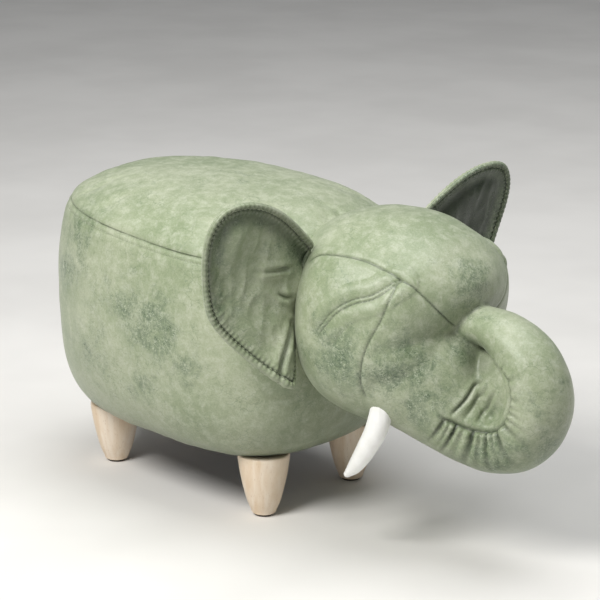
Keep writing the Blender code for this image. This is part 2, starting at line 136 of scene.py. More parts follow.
# Sections across the curled line of muzzle and trunk: x, z, reach inwards, outwards, to each side.
TRUNK = (
    (0.255, 0.232, 0.075, 0.075, 0.102),
    (0.290, 0.212, 0.080, 0.074, 0.106),
    (0.320, 0.190, 0.078, 0.065, 0.096),
    (0.348, 0.168, 0.066, 0.053, 0.077),
    (0.375, 0.150, 0.047, 0.042, 0.060),
    (0.402, 0.142, 0.038, 0.036, 0.050),
    (0.426, 0.149, 0.035, 0.035, 0.043),
    (0.444, 0.169, 0.032, 0.034, 0.041),
    (0.452, 0.197, 0.030, 0.033, 0.039),
    (0.444, 0.225, 0.028, 0.031, 0.037),
    (0.426, 0.245, 0.025, 0.028, 0.034),
    (0.403, 0.257, 0.022, 0.024, 0.030),
    (0.383, 0.261, 0.0195, 0.0210, 0.0275),
    (0.366, 0.2605, 0.0190, 0.0205, 0.0270),
    (0.354, 0.260, 0.0180, 0.0195, 0.0255),
    (0.3475, 0.2595, 0.0145, 0.0155, 0.0210),
    (0.3445, 0.259, 0.0075, 0.0080, 0.0120),
)
# Filling that rounds the step between forehead and muzzle, and the panel that closes the curl.
BRIDGE = ((0.306, 0.0, 0.232), (0.061, 0.111, 0.056))
CURL_PANEL = ((0.400, 0.0, 0.196), (0.044, 0.027, 0.047))
HEAD_SQUARENESS = 2.2
# Ear pattern, rows from the low tip to the top edge, each from the sewn root to the rim.
EAR = (
    ((0.201, 0.106, 0.206), (0.209, 0.112, 0.194), (0.218, 0.121, 0.186), (0.226, 0.131, 0.185)),
    ((0.200, 0.107, 0.238), (0.206, 0.124, 0.225), (0.207, 0.143, 0.214), (0.203, 0.159, 0.209)),
    ((0.200, 0.107, 0.265), (0.199, 0.135, 0.256), (0.188, 0.166, 0.249), (0.179, 0.196, 0.251)),
    ((0.201, 0.106, 0.285), (0.198, 0.137, 0.283), (0.184, 0.175, 0.281), (0.178, 0.214, 0.275)),
    ((0.202, 0.104, 0.305), (0.196, 0.140, 0.312), (0.180, 0.182, 0.313), (0.180, 0.220, 0.304)),
    ((0.206, 0.097, 0.331), (0.204, 0.136, 0.356), (0.195, 0.182, 0.365), (0.190, 0.232, 0.362)),
    ((0.211, 0.090, 0.344), (0.214, 0.128, 0.380), (0.212, 0.170, 0.401), (0.202, 0.213, 0.400)),
)
EAR_HINGE_LOW = (0.200, 0.107, 0.210)
EAR_HINGE_HIGH = (0.206, 0.096, 0.335)
LEFT_EAR_TURN = 18.0
LEFT_EAR_DROOP = 2.0
LEFT_EAR_DROP = 0.0100
EAR_T = 0.0110
# Tusk and tail: a point on the middle line and the radius there.
TUSK = (
    ((0.306, 0.0740, 0.202), 0.0110),
    ((0.308, 0.0800, 0.184), 0.0120),
    ((0.305, 0.0875, 0.153), 0.0123),
    ((0.291, 0.0900, 0.124), 0.0106),
    ((0.277, 0.0900, 0.103), 0.0080),
    ((0.266, 0.0900, 0.091), 0.0040),
)
TAIL = (
    ((-0.2115, 0.0, 0.2800), 0.0050),
    ((-0.2210, 0.0, 0.2740), 0.0055),
    ((-0.2265, 0.0, 0.2580), 0.0055),
    ((-0.2300, 0.0, 0.2360), 0.0055),
    ((-0.2310, 0.0, 0.2130), 0.0055),
    ((-0.2310, 0.0, 0.1980), 0.0050),
)
TUFT_TOP_Z, TUFT_LOW_Z = 0.2050, 0.1540

# Seams of the head's right half, in the part's frame. The left half mirrors them.
TOP_SEAM = (
    (0.094, -0.093, 0.318),
    (0.106, -0.092, 0.328),
    (0.132, -0.0915, 0.333),
    (0.163, -0.086, 0.332),
    (0.191, -0.081, 0.3235),
    (0.2085, -0.078, 0.3165),
    (0.220, -0.0735, 0.3105),
    (0.2325, -0.066, 0.2985),
    (0.2395, -0.0545, 0.2845),
    (0.238, -0.040, 0.273),
    (0.236, -0.028, 0.266),
)
FELLED_DART = (
    (0.2065, -0.080, 0.3165),
    (0.188, -0.098, 0.3005),
    (0.169, -0.1075, 0.2935),
    (0.1515, -0.117, 0.282),
    (0.138, -0.1225, 0.264),
    (0.131, -0.124, 0.254),
)
PLAIN_DART = (
    (0.2065, -0.080, 0.3165),
    (0.2025, -0.094, 0.292),
    (0.198, -0.1005, 0.275),
    (0.190, -0.1075, 0.2555),
    (0.183, -0.1095, 0.234),
    (0.177, -0.104, 0.208),
    (0.178, -0.096, 0.190),
)
CURL_SEAM = (
    (0.250, -0.061, 0.1745),
    (0.257, -0.058, 0.171),
    (0.278, -0.045, 0.163),
    (0.302, -0.0375, 0.167),
    (0.311, -0.037, 0.176),
    (0.318, -0.035, 0.198),
    (0.315, -0.035, 0.221),
    (0.300, -0.029, 0.231),
    (0.282, -0.021, 0.237),
)
PANEL_FOLDS = (
    ((0.275, -0.0285, 0.213), (0.264, -0.040, 0.1935), (0.257, -0.056, 0.177)),
    ((0.2925, -0.0287, 0.205), (0.2835, -0.029, 0.185), (0.279, -0.040, 0.168)),
    ((0.284, -0.028, 0.211), (0.272, -0.035, 0.187), (0.268, -0.049, 0.171)),
)
# Where the finish is rubbed dark: middle, radius and strength, on the right side, then the left.
RUBBED = (
    ((-0.213, -0.147, 0.300), 0.040, 0.85),
    ((-0.238, -0.140, 0.262), 0.040, 0.80),
    ((-0.158, -0.162, 0.252), 0.026, 0.60),
    ((-0.120, -0.164, 0.240), 0.036, 0.90),
    ((-0.083, -0.165, 0.232), 0.038, 1.00),
    ((-0.060, -0.164, 0.212), 0.036, 1.00),
    ((-0.038, -0.160, 0.188), 0.028, 0.90),
    ((-0.109, -0.159, 0.146), 0.026, 0.70),
    ((-0.195, -0.156, 0.171), 0.050, 0.60),
    ((0.155, -0.119, 0.236), 0.042, 1.00),
    ((0.185, -0.110, 0.215), 0.040, 0.75),
    ((0.112, -0.119, 0.225), 0.024, 0.65),
    ((0.212, -0.083, 0.230), 0.050, 1.00),
    ((0.233, -0.070, 0.183), 0.036, 0.90),
    ((0.251, -0.010, 0.310), 0.036, 0.90),
    ((0.250, -0.030, 0.240), 0.024, 0.80),
    ((0.300, -0.036, 0.135), 0.045, 0.90),
    ((0.355, -0.010, 0.150), 0.050, 0.80),
    ((0.358, -0.010, 0.200), 0.045, 0.55),
    ((-0.150, 0.162, 0.262), 0.036, 0.80),
    ((-0.095, 0.165, 0.225), 0.034, 1.00),
    ((-0.060, 0.163, 0.180), 0.030, 0.80),
    ((-0.225, 0.120, 0.210), 0.045, 0.80),
    ((-0.328, -0.030, 0.250), 0.045, 0.75),
    ((-0.322, 0.050, 0.170), 0.040, 0.70),
    ((0.150, 0.120, 0.245), 0.034, 0.90),
    ((0.215, 0.080, 0.230), 0.034, 0.90),
    ((-0.100, 0.020, 0.361), 0.050, 0.35),
    ((0.070, -0.195, 0.290), 0.024, 0.80),
    ((0.085, -0.135, 0.345), 0.030, 0.60),
    ((0.078, 0.190, 0.300), 0.040, 0.70),
)

# ---------------------------------------------------------------- number work


def filled(rows, steps):
    """Rows of numbers, filled in between by a Catmull-Rom curve."""
    rows = np.asarray(rows, float)
    rows = np.vstack([2 * rows[0] - rows[1], rows, 2 * rows[-1] - rows[-2]])
    t = (np.arange(steps) / steps)[:, None]
    out = []
    for a, b, c, d in zip(rows, rows[1:], rows[2:], rows[3:]):
        out.append(
            0.5 * (2 * b + (c - a) * t + (2 * a - 5 * b + 4 * c - d) * t**2 + (3 * b - a - 3 * c + d) * t**3)
        )
    return np.vstack([*out, rows[-2:-1]])


def arc_length(line):
    return np.concatenate([[0], np.cumsum(np.linalg.norm(np.diff(line, axis=0), axis=1))])


def evenly(line, pitch):
    """The line's points, respaced at about this pitch, and the distance along it."""
    along = arc_length(line)
    where = np.linspace(0, along[-1], max(2, int(along[-1] / pitch) + 1))
    return np.column_stack([np.interp(where, along, line[:, k]) for k in range(3)]), where


def mirrored(points):
    return np.asarray(points, float) * (1, -1, 1)


def near_line(points, line, reach):
    """Each point's distance to a line (infinite beyond reach), its place along it, and the line's length."""
    line, along = evenly(np.asarray(line, float), 0.0005)
    distance = np.full(len(points), np.inf)
    place = np.zeros(len(points))
    for start in range(0, len(line), 60):
        part = line[start : start + 61]
        low, high = part.min(0) - reach, part.max(0) + reach
        inside = np.flatnonzero(((points > low) & (points < high)).all(1))
        if not len(inside):
            continue
        gap = np.linalg.norm(points[inside][:, None] - part[None], axis=2)
        best = gap.argmin(1)
        found = gap[np.arange(len(inside)), best]
        better = found < distance[inside]
        distance[inside[better]] = found[better]
        place[inside[better]] = along[start + best[better]]
    distance[distance > reach] = np.inf
    return distance, place, along[-1]


def wave(points, scale, seed=0.0):
    """Smooth noise from -1 to 1 at each point, with features about 1 / scale across."""
    shift = Vector((seed, 1.7 * seed, -0.6 * seed))
    return np.array([noise.noise(Vector(p) * scale + shift) for p in points])


def folded_left(points):
    """The points with those of the right half mirrored onto the left."""
    return np.column_stack([points[:, 0], np.abs(points[:, 1]), points[:, 2]])


def bump_at(distance, width):
    return np.exp(-((distance / width) ** 2))


def circle(count):
    """Angles spread evenly round a full turn."""
    return 2 * np.pi * np.arange(count) / count


def hoop(x, y, radius, z, count):
    """A level ring of points."""
    turn = circle(count)
    return np.column_stack([x + radius * np.cos(turn), y + radius * np.sin(turn), np.full(count, z)])


# ---------------------------------------------------------------- mesh work


def mesh_object(name, points, faces):
    mesh = bpy.data.meshes.new(name)
    mesh.from_pydata([tuple(p) for p in points], [], faces)
    mesh.update()
    mesh.shade_smooth()
    obj = bpy.data.objects.new(name, mesh)
    bpy.context.scene.collection.objects.link(obj)
    return obj


def points_of(mesh):
    flat = np.empty(len(mesh.vertices) * 3, np.float32)
    mesh.vertices.foreach_get("co", flat)
    return flat.reshape(-1, 3).astype(float)


def normals_of(mesh):
    flat = np.empty(len(mesh.vertices) * 3, np.float32)
    mesh.vertex_normals.foreach_get("vector", flat)
    return flat.reshape(-1, 3).astype(float)


def edges_of(mesh):
    flat = np.empty(len(mesh.edges) * 2, np.int32)
    mesh.edges.foreach_get("vertices", flat)
    return flat.reshape(-1, 2)


def put_points(mesh, points):
    mesh.vertices.foreach_set("co", points.astype(np.float32).ravel())
    mesh.update()


def put_values(mesh, name, values):
    layer = mesh.attributes.get(name) or mesh.attributes.new(name, "FLOAT", "POINT")
    layer.data.foreach_set("value", np.full(len(mesh.vertices), values, np.float32))


def move_out(mesh, amount):
    put_points(mesh, points_of(mesh) + normals_of(mesh) * amount[:, None])


def relaxed(points, edges, rounds, amount=0.5):
    """Points drawn towards the mean of their neighbours."""
    n = len(points)
    count = np.bincount(edges.ravel(), minlength=n)
    amount = np.broadcast_to(amount, n)
    for _ in range(rounds):
        for k in range(3):
            total = np.bincount(edges[:, 0], points[edges[:, 1], k], n)
            total += np.bincount(edges[:, 1], points[edges[:, 0], k], n)
            points[:, k] += amount * (total / count - points[:, k])
    return points


def evaluated_mesh(obj):
    graph = bpy.context.evaluated_depsgraph_get()
    return bpy.data.meshes.new_from_object(obj.evaluated_get(graph), depsgraph=graph)


def apply_modifiers(obj):
    mesh = evaluated_mesh(obj)
    obj.modifiers.clear()
    obj.data = mesh
    mesh.shade_smooth()
    return obj


def tree_of(obj):
    return BVHTree.FromObject(obj, bpy.context.evaluated_depsgraph_get())


def loft(name, rings, close_ends=True, closed_loop=False):
    """Skins rings of equal length, which run counter-clockwise seen from the last ring."""
    count = len(rings[0])
    faces = []
    pairs = [(r, r + 1) for r in range(len(rings) - 1)]
    if closed_loop:
        pairs.append((len(rings) - 1, 0))
    for a, b in pairs:
        for i in range(count):
            j = (i + 1) % count
            faces.append((a * count + i, a * count + j, b * count + j, b * count + i))
    if close_ends and not closed_loop:
        faces.append(tuple(range(count))[::-1])
        faces.append(tuple(range((len(rings) - 1) * count, len(rings) * count)))
    return mesh_object(name, np.vstack(rings), faces)


def lean_at(z):
    if z <= SEAM_Z:
        return LEAN * max(0.0, z - BODY_FLOOR_Z) / (SEAM_Z - BODY_FLOOR_Z)
    return LEAN + (CROWN_LEAN - LEAN) * (z - SEAM_Z) / (CROWN_Z - SEAM_Z)


def oval(row, count, outset=0.0, rise=0.0, lean=None):
    """A superellipse ring about the stool's middle, its points spread evenly by angle."""
    z, half_x, half_y, shift, square = row
    turn = circle(count)
    c, s = np.cos(turn), np.sin(turn)
    a, b = half_x + outset, half_y + outset
    reach = (np.abs(c / a) ** square + np.abs(s / b) ** square) ** (-1 / square)
    x, y = reach * c, reach * s
    y = y * (1 + TAPER * x / a)
    x = x + shift
    slope = lean_at(z) if lean is None else lean
    return np.column_stack([STOOL_X + x, y, z + rise - slope * x])


def sections(rows, steps, count, square, upright=False):
    """Rings round a curved middle line in the plane y = 0, across the line or upright."""
    rows = filled(rows, steps)
    turn = circle(count)
    c, s = np.cos(turn), np.sin(turn)
    shape_c = np.sign(c) * np.abs(c) ** (2 / square)
    shape_s = np.sign(s) * np.abs(s) ** (2 / square)
    rings = []
    for i, (x, z, front, under, side) in enumerate(rows):
        before, after = rows[max(i - 1, 0)], rows[min(i + 1, len(rows) - 1)]
        along = np.array([after[0] - before[0], 0 if upright else after[1] - before[1]])
        along /= np.linalg.norm(along)
        reach = np.where(c > 0, front, under) * shape_c
        rings.append(
            np.column_stack([STOOL_X + x - along[1] * reach, -side * shape_s, z + along[0] * reach])
        )
    return rings


# ---------------------------------------------------------------- cloth


# Coarse cloth mesh and the furthest that it may carry a cover.
SEAT_CLOTH_VOXEL, SEAT_CLOTH_REACH = 0.0060, 0.0035
HEAD_CLOTH_VOXEL, HEAD_CLOTH_REACH = 0.0065, 0.0030


def swell(obj, voxel, pinned, cap, pressure=4.0, frames=20):
    """Blows a coarse copy of a cover up as cloth and carries its movement over to the cover's points."""
    coarse = bpy.data.objects.new(f"{obj.name}_coarse", obj.data.copy())
    bpy.context.scene.collection.objects.link(coarse)
    remesh = coarse.modifiers.new("voxels", "REMESH")
    remesh.mode = "VOXEL"
    remesh.voxel_size = voxel
    apply_modifiers(coarse)
    start = points_of(coarse.data)
    group = coarse.vertex_groups.new(name="sewn")
    for weight, members in pinned(start):
        group.add([int(i) for i in members], weight, "REPLACE")
    cloth = coarse.modifiers.new("cloth", "CLOTH")
    cloth.settings.use_pressure = True
    cloth.settings.uniform_pressure_force = pressure
    cloth.settings.vertex_group_mass = "sewn"
    cloth.settings.effector_weights.gravity = 0
    cloth.collision_settings.use_collision = False
    cloth.point_cache.frame_start = 1
    cloth.point_cache.frame_end = frames
    for step in range(1, frames + 1):
        bpy.context.scene.frame_set(step)
    ended = evaluated_mesh(coarse)
    move = points_of(ended) - start
    bpy.data.meshes.remove(ended)
    bpy.data.objects.remove(coarse, do_unlink=True)
    bpy.context.scene.frame_set(1)
    size = np.linalg.norm(move, axis=1, keepdims=True)
    move *= np.minimum(1, cap / np.maximum(size, 1e-9))
    tree = KDTree(len(start))
    for i, p in enumerate(start):
        tree.insert(p, i)
    tree.balance()
    points = points_of(obj.data)
    for i, p in enumerate(points):
        found = tree.find_n(p, 4)
        share = np.array([1 / (d + 1e-4) for _, _, d in found])
        points[i] += (move[[k for _, k, _ in found]] * share[:, None]).sum(0) / share.sum()
    put_points(obj.data, points)


# ---------------------------------------------------------------- stitching


# Thread stitches: length, pitch, thread radius, lift off the surface.
SEAT_STITCH = (0.0030, 0.0042, 0.00028, 0.00012)
EAR_STITCH = (0.0038, 0.0062, 0.00050, 0.00025)


def stitches(name, line, normals, length, pitch, radius, lift):
    """A row of short thread stitches along a line that lies on a surface."""
    along = arc_length(line)
    count = int(along[-1] / pitch)
    sides = 6
    turn = circle(sides)
    points, faces = [], []
    for k in range(count):
        ends = (k + 0.5) * pitch + np.array([-0.5, -0.36, 0, 0.36, 0.5]) * length
        middle_line = np.column_stack([np.interp(ends, along, line[:, i]) for i in range(3)])
        up = np.array([np.interp(ends[2], along, normals[:, i]) for i in range(3)])
        up /= np.linalg.norm(up)
        ahead = middle_line[-1] - middle_line[0]
        ahead /= np.linalg.norm(ahead)
        side = np.cross(up, ahead)
        rise = lift * np.array([-0.6, 0.5, 1.0, 0.5, -0.6])
        first = len(points)
        for centre, r, h in zip(middle_line, radius * np.array([0.25, 0.85, 1, 0.85, 0.25]), rise):
            for t in turn:
                points.append(centre + up * h + r * (math.cos(t) * up + math.sin(t) * side))
        for ring in range(4):
            for i in range(sides):
                a, b = first + ring * sides + i, first + ring * sides + (i + 1) % sides
                faces.append((a, b, b + sides, a + sides))
        faces.append(tuple(first + i for i in range(sides))[::-1])
        faces.append(tuple(first + 4 * sides + i for i in range(sides)))
    return mesh_object(name, np.array(points), faces)


def on_surface(tree, line):
    """The line's points dropped onto a surface, with the surface normals there."""
    spots, normals = [], []
    for p in line:
        spot, normal, _, _ = tree.find_nearest(p)
        spots.append(spot)
        normals.append(normal)
    return np.array(spots), np.array(normals)


# ---------------------------------------------------------------- materials


def add(tree, kind, inputs=None, **settings):
    """A node with its settings, and its inputs set to values or joined to sockets."""
    node = tree.nodes.new(kind)
    for key, value in settings.items():
        setattr(node, key, value)
    for key, value in (inputs or {}).items():
        if isinstance(value, bpy.types.NodeSocket):
            tree.links.new(value, node.inputs[key])
        else:
            node.inputs[key].default_value = value
    return node


def new_material(name, **values):
    material = bpy.data.materials.new(name)
    material.use_nodes = True
    shader = material.node_tree.nodes["Principled BSDF"]
    for key, value in values.items():
        shader.inputs[key.replace("_", " ")].default_value = value
    where = add(material.node_tree, "ShaderNodeTexCoord").outputs["Object"]
    return material, material.node_tree, shader, where


def painted(tree, name):
    """A value painted on the mesh."""
    return add(tree, "ShaderNodeAttribute", attribute_name=name).outputs["Fac"]


def weave(where, scale, **settings):
    """Regular bands, as in woven cloth."""
    return add(where.id_data, "ShaderNodeTexWave", {"Vector": where, "Scale": scale}, **settings)


def cloud(where, scale, detail=3.0, rough=0.55, distort=0.0):
    node = add(where.id_data, "ShaderNodeTexNoise", {"Vector": where, "Scale": scale, "Detail": detail})
    node.inputs["Roughness"].default_value = rough
    node.inputs["Distortion"].default_value = distort
    return node.outputs["Fac"]


def stretched(where, scale, rotation=(0, 0, 0)):
    node = add(where.id_data, "ShaderNodeMapping", {"Vector": where, "Scale": scale, "Rotation": rotation})
    return node.outputs["Vector"]


def ramp(value, low, high, to_low=0.0, to_high=1.0):
    node = add(
        value.id_data,
        "ShaderNodeMapRange",
        {"Value": value, "From Min": low, "From Max": high, "To Min": to_low, "To Max": to_high},
        interpolation_type="SMOOTHSTEP",
    )
    return node.outputs["Result"]


def maths(operation, a, b=0.0):
    return add(a.id_data, "ShaderNodeMath", {0: a, 1: b}, operation=operation).outputs[0]


def blended(share, a, b, mode="MIX"):
    settings = {"data_type": "RGBA", "blend_type": mode}
    return add(share.id_data, "ShaderNodeMix", {0: share, 6: a, 7: b}, **settings).outputs[2]


def bumped(shader, layers):
    """Chains bump layers of (height, strength, distance) into the shader's normal."""
    normal = None
    for height, strength, distance in layers:
        inputs = {"Height": height, "Strength": strength, "Distance": distance}
        if normal:
            inputs["Normal"] = normal
        normal = add(shader.id_data, "ShaderNodeBump", inputs).outputs["Normal"]
    shader.id_data.links.new(normal, shader.inputs["Normal"])


def colour(red, green, blue):
    """A display colour from 0 to 255 as a linear shader colour."""
    return (*(((v / 255 + 0.055) / 1.055) ** 2.4 for v in (red, green, blue)), 1.0)


SAGE = colour(170, 177, 150)
SAGE_PALE = colour(193, 197, 177)
SAGE_DEEP = colour(136, 149, 116)
# Rubbed tones, also used for painted shade on the ears' fronts.
RUBBED_AND_SHADE_DARK = colour(52, 78, 56)
RUBBED_AND_SHADE_MID = colour(98, 119, 90)
CRACKLE = colour(198, 206, 182)
# Deep green of the painted shade.
PAINTED_SHADE_GREEN = colour(30, 42, 24)


def leatherette(name):
    """Nubuck-look leatherette: cloudy sage with rubbed dark patches, pale crackle and a fine grain, darkened to
    deep green where the mesh carries painted shade.
    """
    material, tree, shader, where = new_material(
        name,
        Specular_IOR_Level=0.5,
        Sheen_Weight=0.18,
        Sheen_Roughness=0.40,
        Sheen_Tint=colour(225, 235, 215),
    )
    rubbed_and_painted_shade = painted(tree, "rubbed_and_painted_shade")
    painted_shade = painted(tree, "painted_shade")
    worn = painted(tree, "worn")
    broad = cloud(where, 9, 4, 0.6, 0.3)
    mottle = cloud(where, 80, 7, 0.72, 0.3)
    fine = cloud(where, 520, 4, 0.7)
    base = blended(ramp(broad, 0.34, 0.66, 0.15, 1.0), SAGE_DEEP, SAGE)
    base = blended(ramp(mottle, 0.44, 0.70, 0, 0.55), base, SAGE_PALE)
    base = blended(ramp(mottle, 0.52, 0.34, 0, 0.35), base, SAGE_DEEP)
    # Rubbed patches, and painted shade on the ears' fronts: a torn-edged mask, filled with speckles and
    # streaks.
    edge = cloud(where, 34, 8, 0.75, 0.6)
    torn = maths("MULTIPLY", maths("SUBTRACT", edge, 0.5), 2.6)
    patch = ramp(maths("ADD", maths("MULTIPLY", rubbed_and_painted_shade, 0.80), torn), 0.16, 1.05)
    speckle = ramp(cloud(where, 260, 6, 0.8, 0.5), 0.44, 0.58)
    streak = cloud(stretched(where, (330, 330, 120), (0.2, 0.1, 0.3)), 1.0, 5, 0.75)
    spots = maths("MAXIMUM", speckle, ramp(streak, 0.46, 0.60, 0.0, 0.9))
    spots = maths("MULTIPLY", patch, spots)
    base = blended(maths("MULTIPLY", patch, 0.42), base, RUBBED_AND_SHADE_MID)
    base = blended(maths("MULTIPLY", spots, 0.66), base, RUBBED_AND_SHADE_DARK)
    # Crackle: hair-fine pale lines, thickest inside the rubbed patches, and a few dark veins outside.
    drift = add(tree, "ShaderNodeTexNoise", {"Vector": where, "Scale": 130.0, "Detail": 4.0})
    pushed = add(tree, "ShaderNodeMix", data_type="VECTOR")
    pushed.inputs[0].default_value = 0.010
    tree.links.new(stretched(where, (1.0, 1.0, 1.35), (0.3, 0.2, 0.1)), pushed.inputs[4])
    tree.links.new(drift.outputs["Color"], pushed.inputs[5])
    cells = add(
        tree,
        "ShaderNodeTexVoronoi",
        {"Vector": pushed.outputs[1], "Scale": 235.0},
        feature="DISTANCE_TO_EDGE",
    )
    lines = ramp(cells.outputs["Distance"], 0.01, 0.075, 1.0, 0.0)
    lines = maths("MULTIPLY", lines, ramp(cloud(where, 150, 4), 0.44, 0.58))
    crackle = maths("MULTIPLY", lines, maths("ADD", maths("MULTIPLY", patch, 0.62), 0.16))
    base = blended(crackle, base, CRACKLE)
    wide_cells = add(
        tree, "ShaderNodeTexVoronoi", {"Vector": pushed.outputs[1], "Scale": 85.0}, feature="DISTANCE_TO_EDGE"
    )
    veins = ramp(wide_cells.outputs["Distance"], 0.0, 0.045, 1.0, 0.0)
    veins = maths("MULTIPLY", veins, ramp(cloud(where, 30, 3), 0.46, 0.62, 0.0, 0.40))
    base = blended(veins, base, RUBBED_AND_SHADE_MID)
    base = blended(ramp(fine, 0.35, 0.75, 0.0, 0.25), base, SAGE_DEEP, "MULTIPLY")
    base = blended(maths("MULTIPLY", worn, 0.45), base, SAGE_PALE)
    # Painted shade: seam grooves, fold troughs, hollows and the faces turned down, forwards or back darken
    # towards deep green.
    base = blended(maths("MULTIPLY", painted_shade, 0.92), base, PAINTED_SHADE_GREEN)
    tree.links.new(base, shader.inputs["Base Color"])
    rough = maths("ADD", ramp(mottle, 0.3, 0.7, 0.33, 0.46), maths("MULTIPLY", patch, -0.10))
    tree.links.new(rough, shader.inputs["Roughness"])
    pores = add(tree, "ShaderNodeTexVoronoi", {"Vector": where, "Scale": 780.0}, feature="F1")
    warp = weave(stretched(where, (1, 1, 1), (0.4, 0.5, 0.3)), 360.0)
    warp.inputs["Distortion"].default_value = 3.0
    bumped(
        shader,
        (
            (mottle, 0.25, 0.0012),
            (lines, 0.20, 0.0004),
            (veins, 0.20, 0.0005),
            (warp.outputs["Fac"], 0.10, 0.0003),
            (pores.outputs["Distance"], 0.30, 0.0003),
            (fine, 0.20, 0.0003),
        ),
    )
    return material


def thread():
    material, tree, shader, where = new_material("thread", Sheen_Weight=0.3, Sheen_Roughness=0.4)
    twist = weave(stretched(where, (1, 1, 1), (0.7, 0.6, 0.2)), 900.0).outputs["Fac"]
    tone = cloud(where, 70, 2)
    base = blended(ramp(tone, 0.3, 0.7), colour(150, 162, 128), colour(190, 198, 170))
    tree.links.new(blended(ramp(twist, 0, 1, 0, 0.5), base, colour(96, 108, 78)), shader.inputs["Base Color"])
    tree.links.new(ramp(twist, 0, 1, 0.5, 0.75), shader.inputs["Roughness"])
    bumped(shader, ((twist, 0.6, 0.0003),))
    return material


def satin():
    """White satin, with fine cross threads and painted shade along its seam and towards the root."""
    material, tree, shader, where = new_material(
        "satin", Specular_IOR_Level=0.5, Sheen_Weight=0.35, Sheen_Roughness=0.35, Anisotropic=0.3
    )
    weft = weave(where, 700.0, bands_direction="Z").outputs["Fac"]
    warp = weave(where, 900.0, bands_direction="X").outputs["Fac"]
    tone = cloud(where, 60, 4)
    painted_shade = painted(tree, "painted_shade")
    base = blended(ramp(tone, 0.35, 0.7), colour(236, 236, 232), colour(246, 246, 244))
    base = blended(ramp(weft, 0, 1, 0, 0.10), base, colour(205, 205, 200))
    # Painted shade along the seam and towards the root.
    base = blended(maths("MULTIPLY", painted_shade, 0.5), base, colour(176, 172, 158))
    tree.links.new(base, shader.inputs["Base Color"])
    tree.links.new(ramp(tone, 0.3, 0.7, 0.34, 0.48), shader.inputs["Roughness"])
    bumped(shader, ((weft, 0.12, 0.0002), (warp, 0.08, 0.0002), (tone, 0.2, 0.0008)))
    return material


def beech(name, pale, deep, scale=1.0):
    """Beech: straight pale grain with short dark flecks, under a matt lacquer."""
    material, tree, shader, where = new_material(
        name, Specular_IOR_Level=0.45, Coat_Weight=0.08, Coat_Roughness=0.4
    )
    along = stretched(where, (60 * scale, 60 * scale, 5 * scale))
    grain = cloud(along, 1.0, 5, 0.6, 0.6)
    rings = weave(stretched(where, (1, 1, 0.08)), 45.0 * scale)
    rings.inputs["Distortion"].default_value = 5.0
    rings.inputs["Detail"].default_value = 3.0
    fleck = ramp(cloud(stretched(where, (900, 900, 90)), 1.0, 2, 0.6), 0.62, 0.74)
    base = blended(ramp(grain, 0.35, 0.68), deep, pale)
    base = blended(ramp(rings.outputs["Fac"], 0.2, 0.9, 0.0, 0.22), base, deep)
    base = blended(maths("MULTIPLY", fleck, 0.45), base, colour(168, 122, 78))
    tree.links.new(base, shader.inputs["Base Color"])
    tree.links.new(ramp(grain, 0.3, 0.7, 0.40, 0.52), shader.inputs["Roughness"])
    bumped(shader, ((grain, 0.10, 0.0004), (fleck, 0.25, 0.0002)))
    return material


def fuzzy(name, dark, light, scale, rough):
    """Felt, foam, fibre or non-woven cloth: a tangle of fine threads."""
    material, tree, shader, where = new_material(
        name, Specular_IOR_Level=0.2, Sheen_Weight=0.3, Sheen_Roughness=0.6
    )
    tangle = cloud(where, scale, 6, 0.8, 1.5)
    tree.links.new(blended(ramp(tangle, 0.35, 0.65), dark, light), shader.inputs["Base Color"])
    tree.links.new(ramp(tangle, 0.3, 0.7, rough - 0.08, rough), shader.inputs["Roughness"])
    bumped(shader, ((tangle, 0.6, 0.0006),))
    return material


def zinc():
    material, tree, shader, where = new_material("zinc", Metallic=1.0)
    brushed = cloud(stretched(where, (300, 300, 2500)), 1.0, 3, 0.6)
    tree.links.new(
        blended(ramp(brushed, 0.3, 0.7), colour(160, 160, 156), colour(206, 206, 202)),
        shader.inputs["Base Color"],
    )
    tree.links.new(ramp(brushed, 0.3, 0.7, 0.26, 0.42), shader.inputs["Roughness"])
    bumped(shader, ((brushed, 0.15, 0.0001),))
    return material


LEATHER = leatherette("sage_leatherette")
THREAD = thread()
SATIN = satin()
BEECH = beech("beech", colour(236, 222, 204), colour(222, 200, 172))
PLYWOOD = beech("plywood", colour(206, 176, 132), colour(176, 140, 94), 0.6)
FELT = fuzzy("felt", colour(40, 34, 28), colour(72, 62, 52), 900, 0.98)
NONWOVEN = fuzzy("nonwoven", colour(14, 14, 15), colour(34, 34, 36), 1400, 0.9)
ZINC = zinc()


def finish_piece(obj, material, body, replaced=()):
    """Gives a new piece its material and its body, and hides the CAD nodes that it stands for."""
    obj.data.materials.clear()
    obj.data.materials.append(material)
    if body:
        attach(obj, body)
    if replaced:
        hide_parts(*replaced)
    return obj


def paint_leather(obj, painted_shade=0.0, rubbed_and_painted_shade=None, worn=None):
    """Writes the painted shade of seams, folds and hollows, the rubbed patches with any painted shade laid into
    them, and the wear, and paints shade on what faces down, forwards or back and on what lies low.
    """
    points, normals = points_of(obj.data), normals_of(obj.data)
    # Painted shade: grey on what faces down, forwards or back, and more of it below 0.21 m.
    painted_facing_shade = 0.24 * np.clip(-normals[:, 2], 0, 1) ** 0.7
    painted_facing_shade += 0.20 * normals[:, 0] ** 2 * np.clip(0.6 - normals[:, 2], 0, 1)
    painted_facing_shade += 0.12 * np.clip((0.21 - points[:, 2]) / 0.10, 0, 1)
    put_values(obj.data, "painted_shade", np.clip(np.float32(np.maximum(painted_shade, 0)) + painted_facing_shade, 0, 1))
    value = np.zeros(len(points))
    for centre, radius, strength in RUBBED:
        far = np.linalg.norm(points - np.array(centre), axis=1)
        value = np.maximum(value, strength * np.exp(-((far / radius) ** 2)))
    if rubbed_and_painted_shade is not None:
        value = np.maximum(value, rubbed_and_painted_shade)
    put_values(obj.data, "rubbed_and_painted_shade", value)
    if worn is not None:
        put_values(obj.data, "worn", worn)


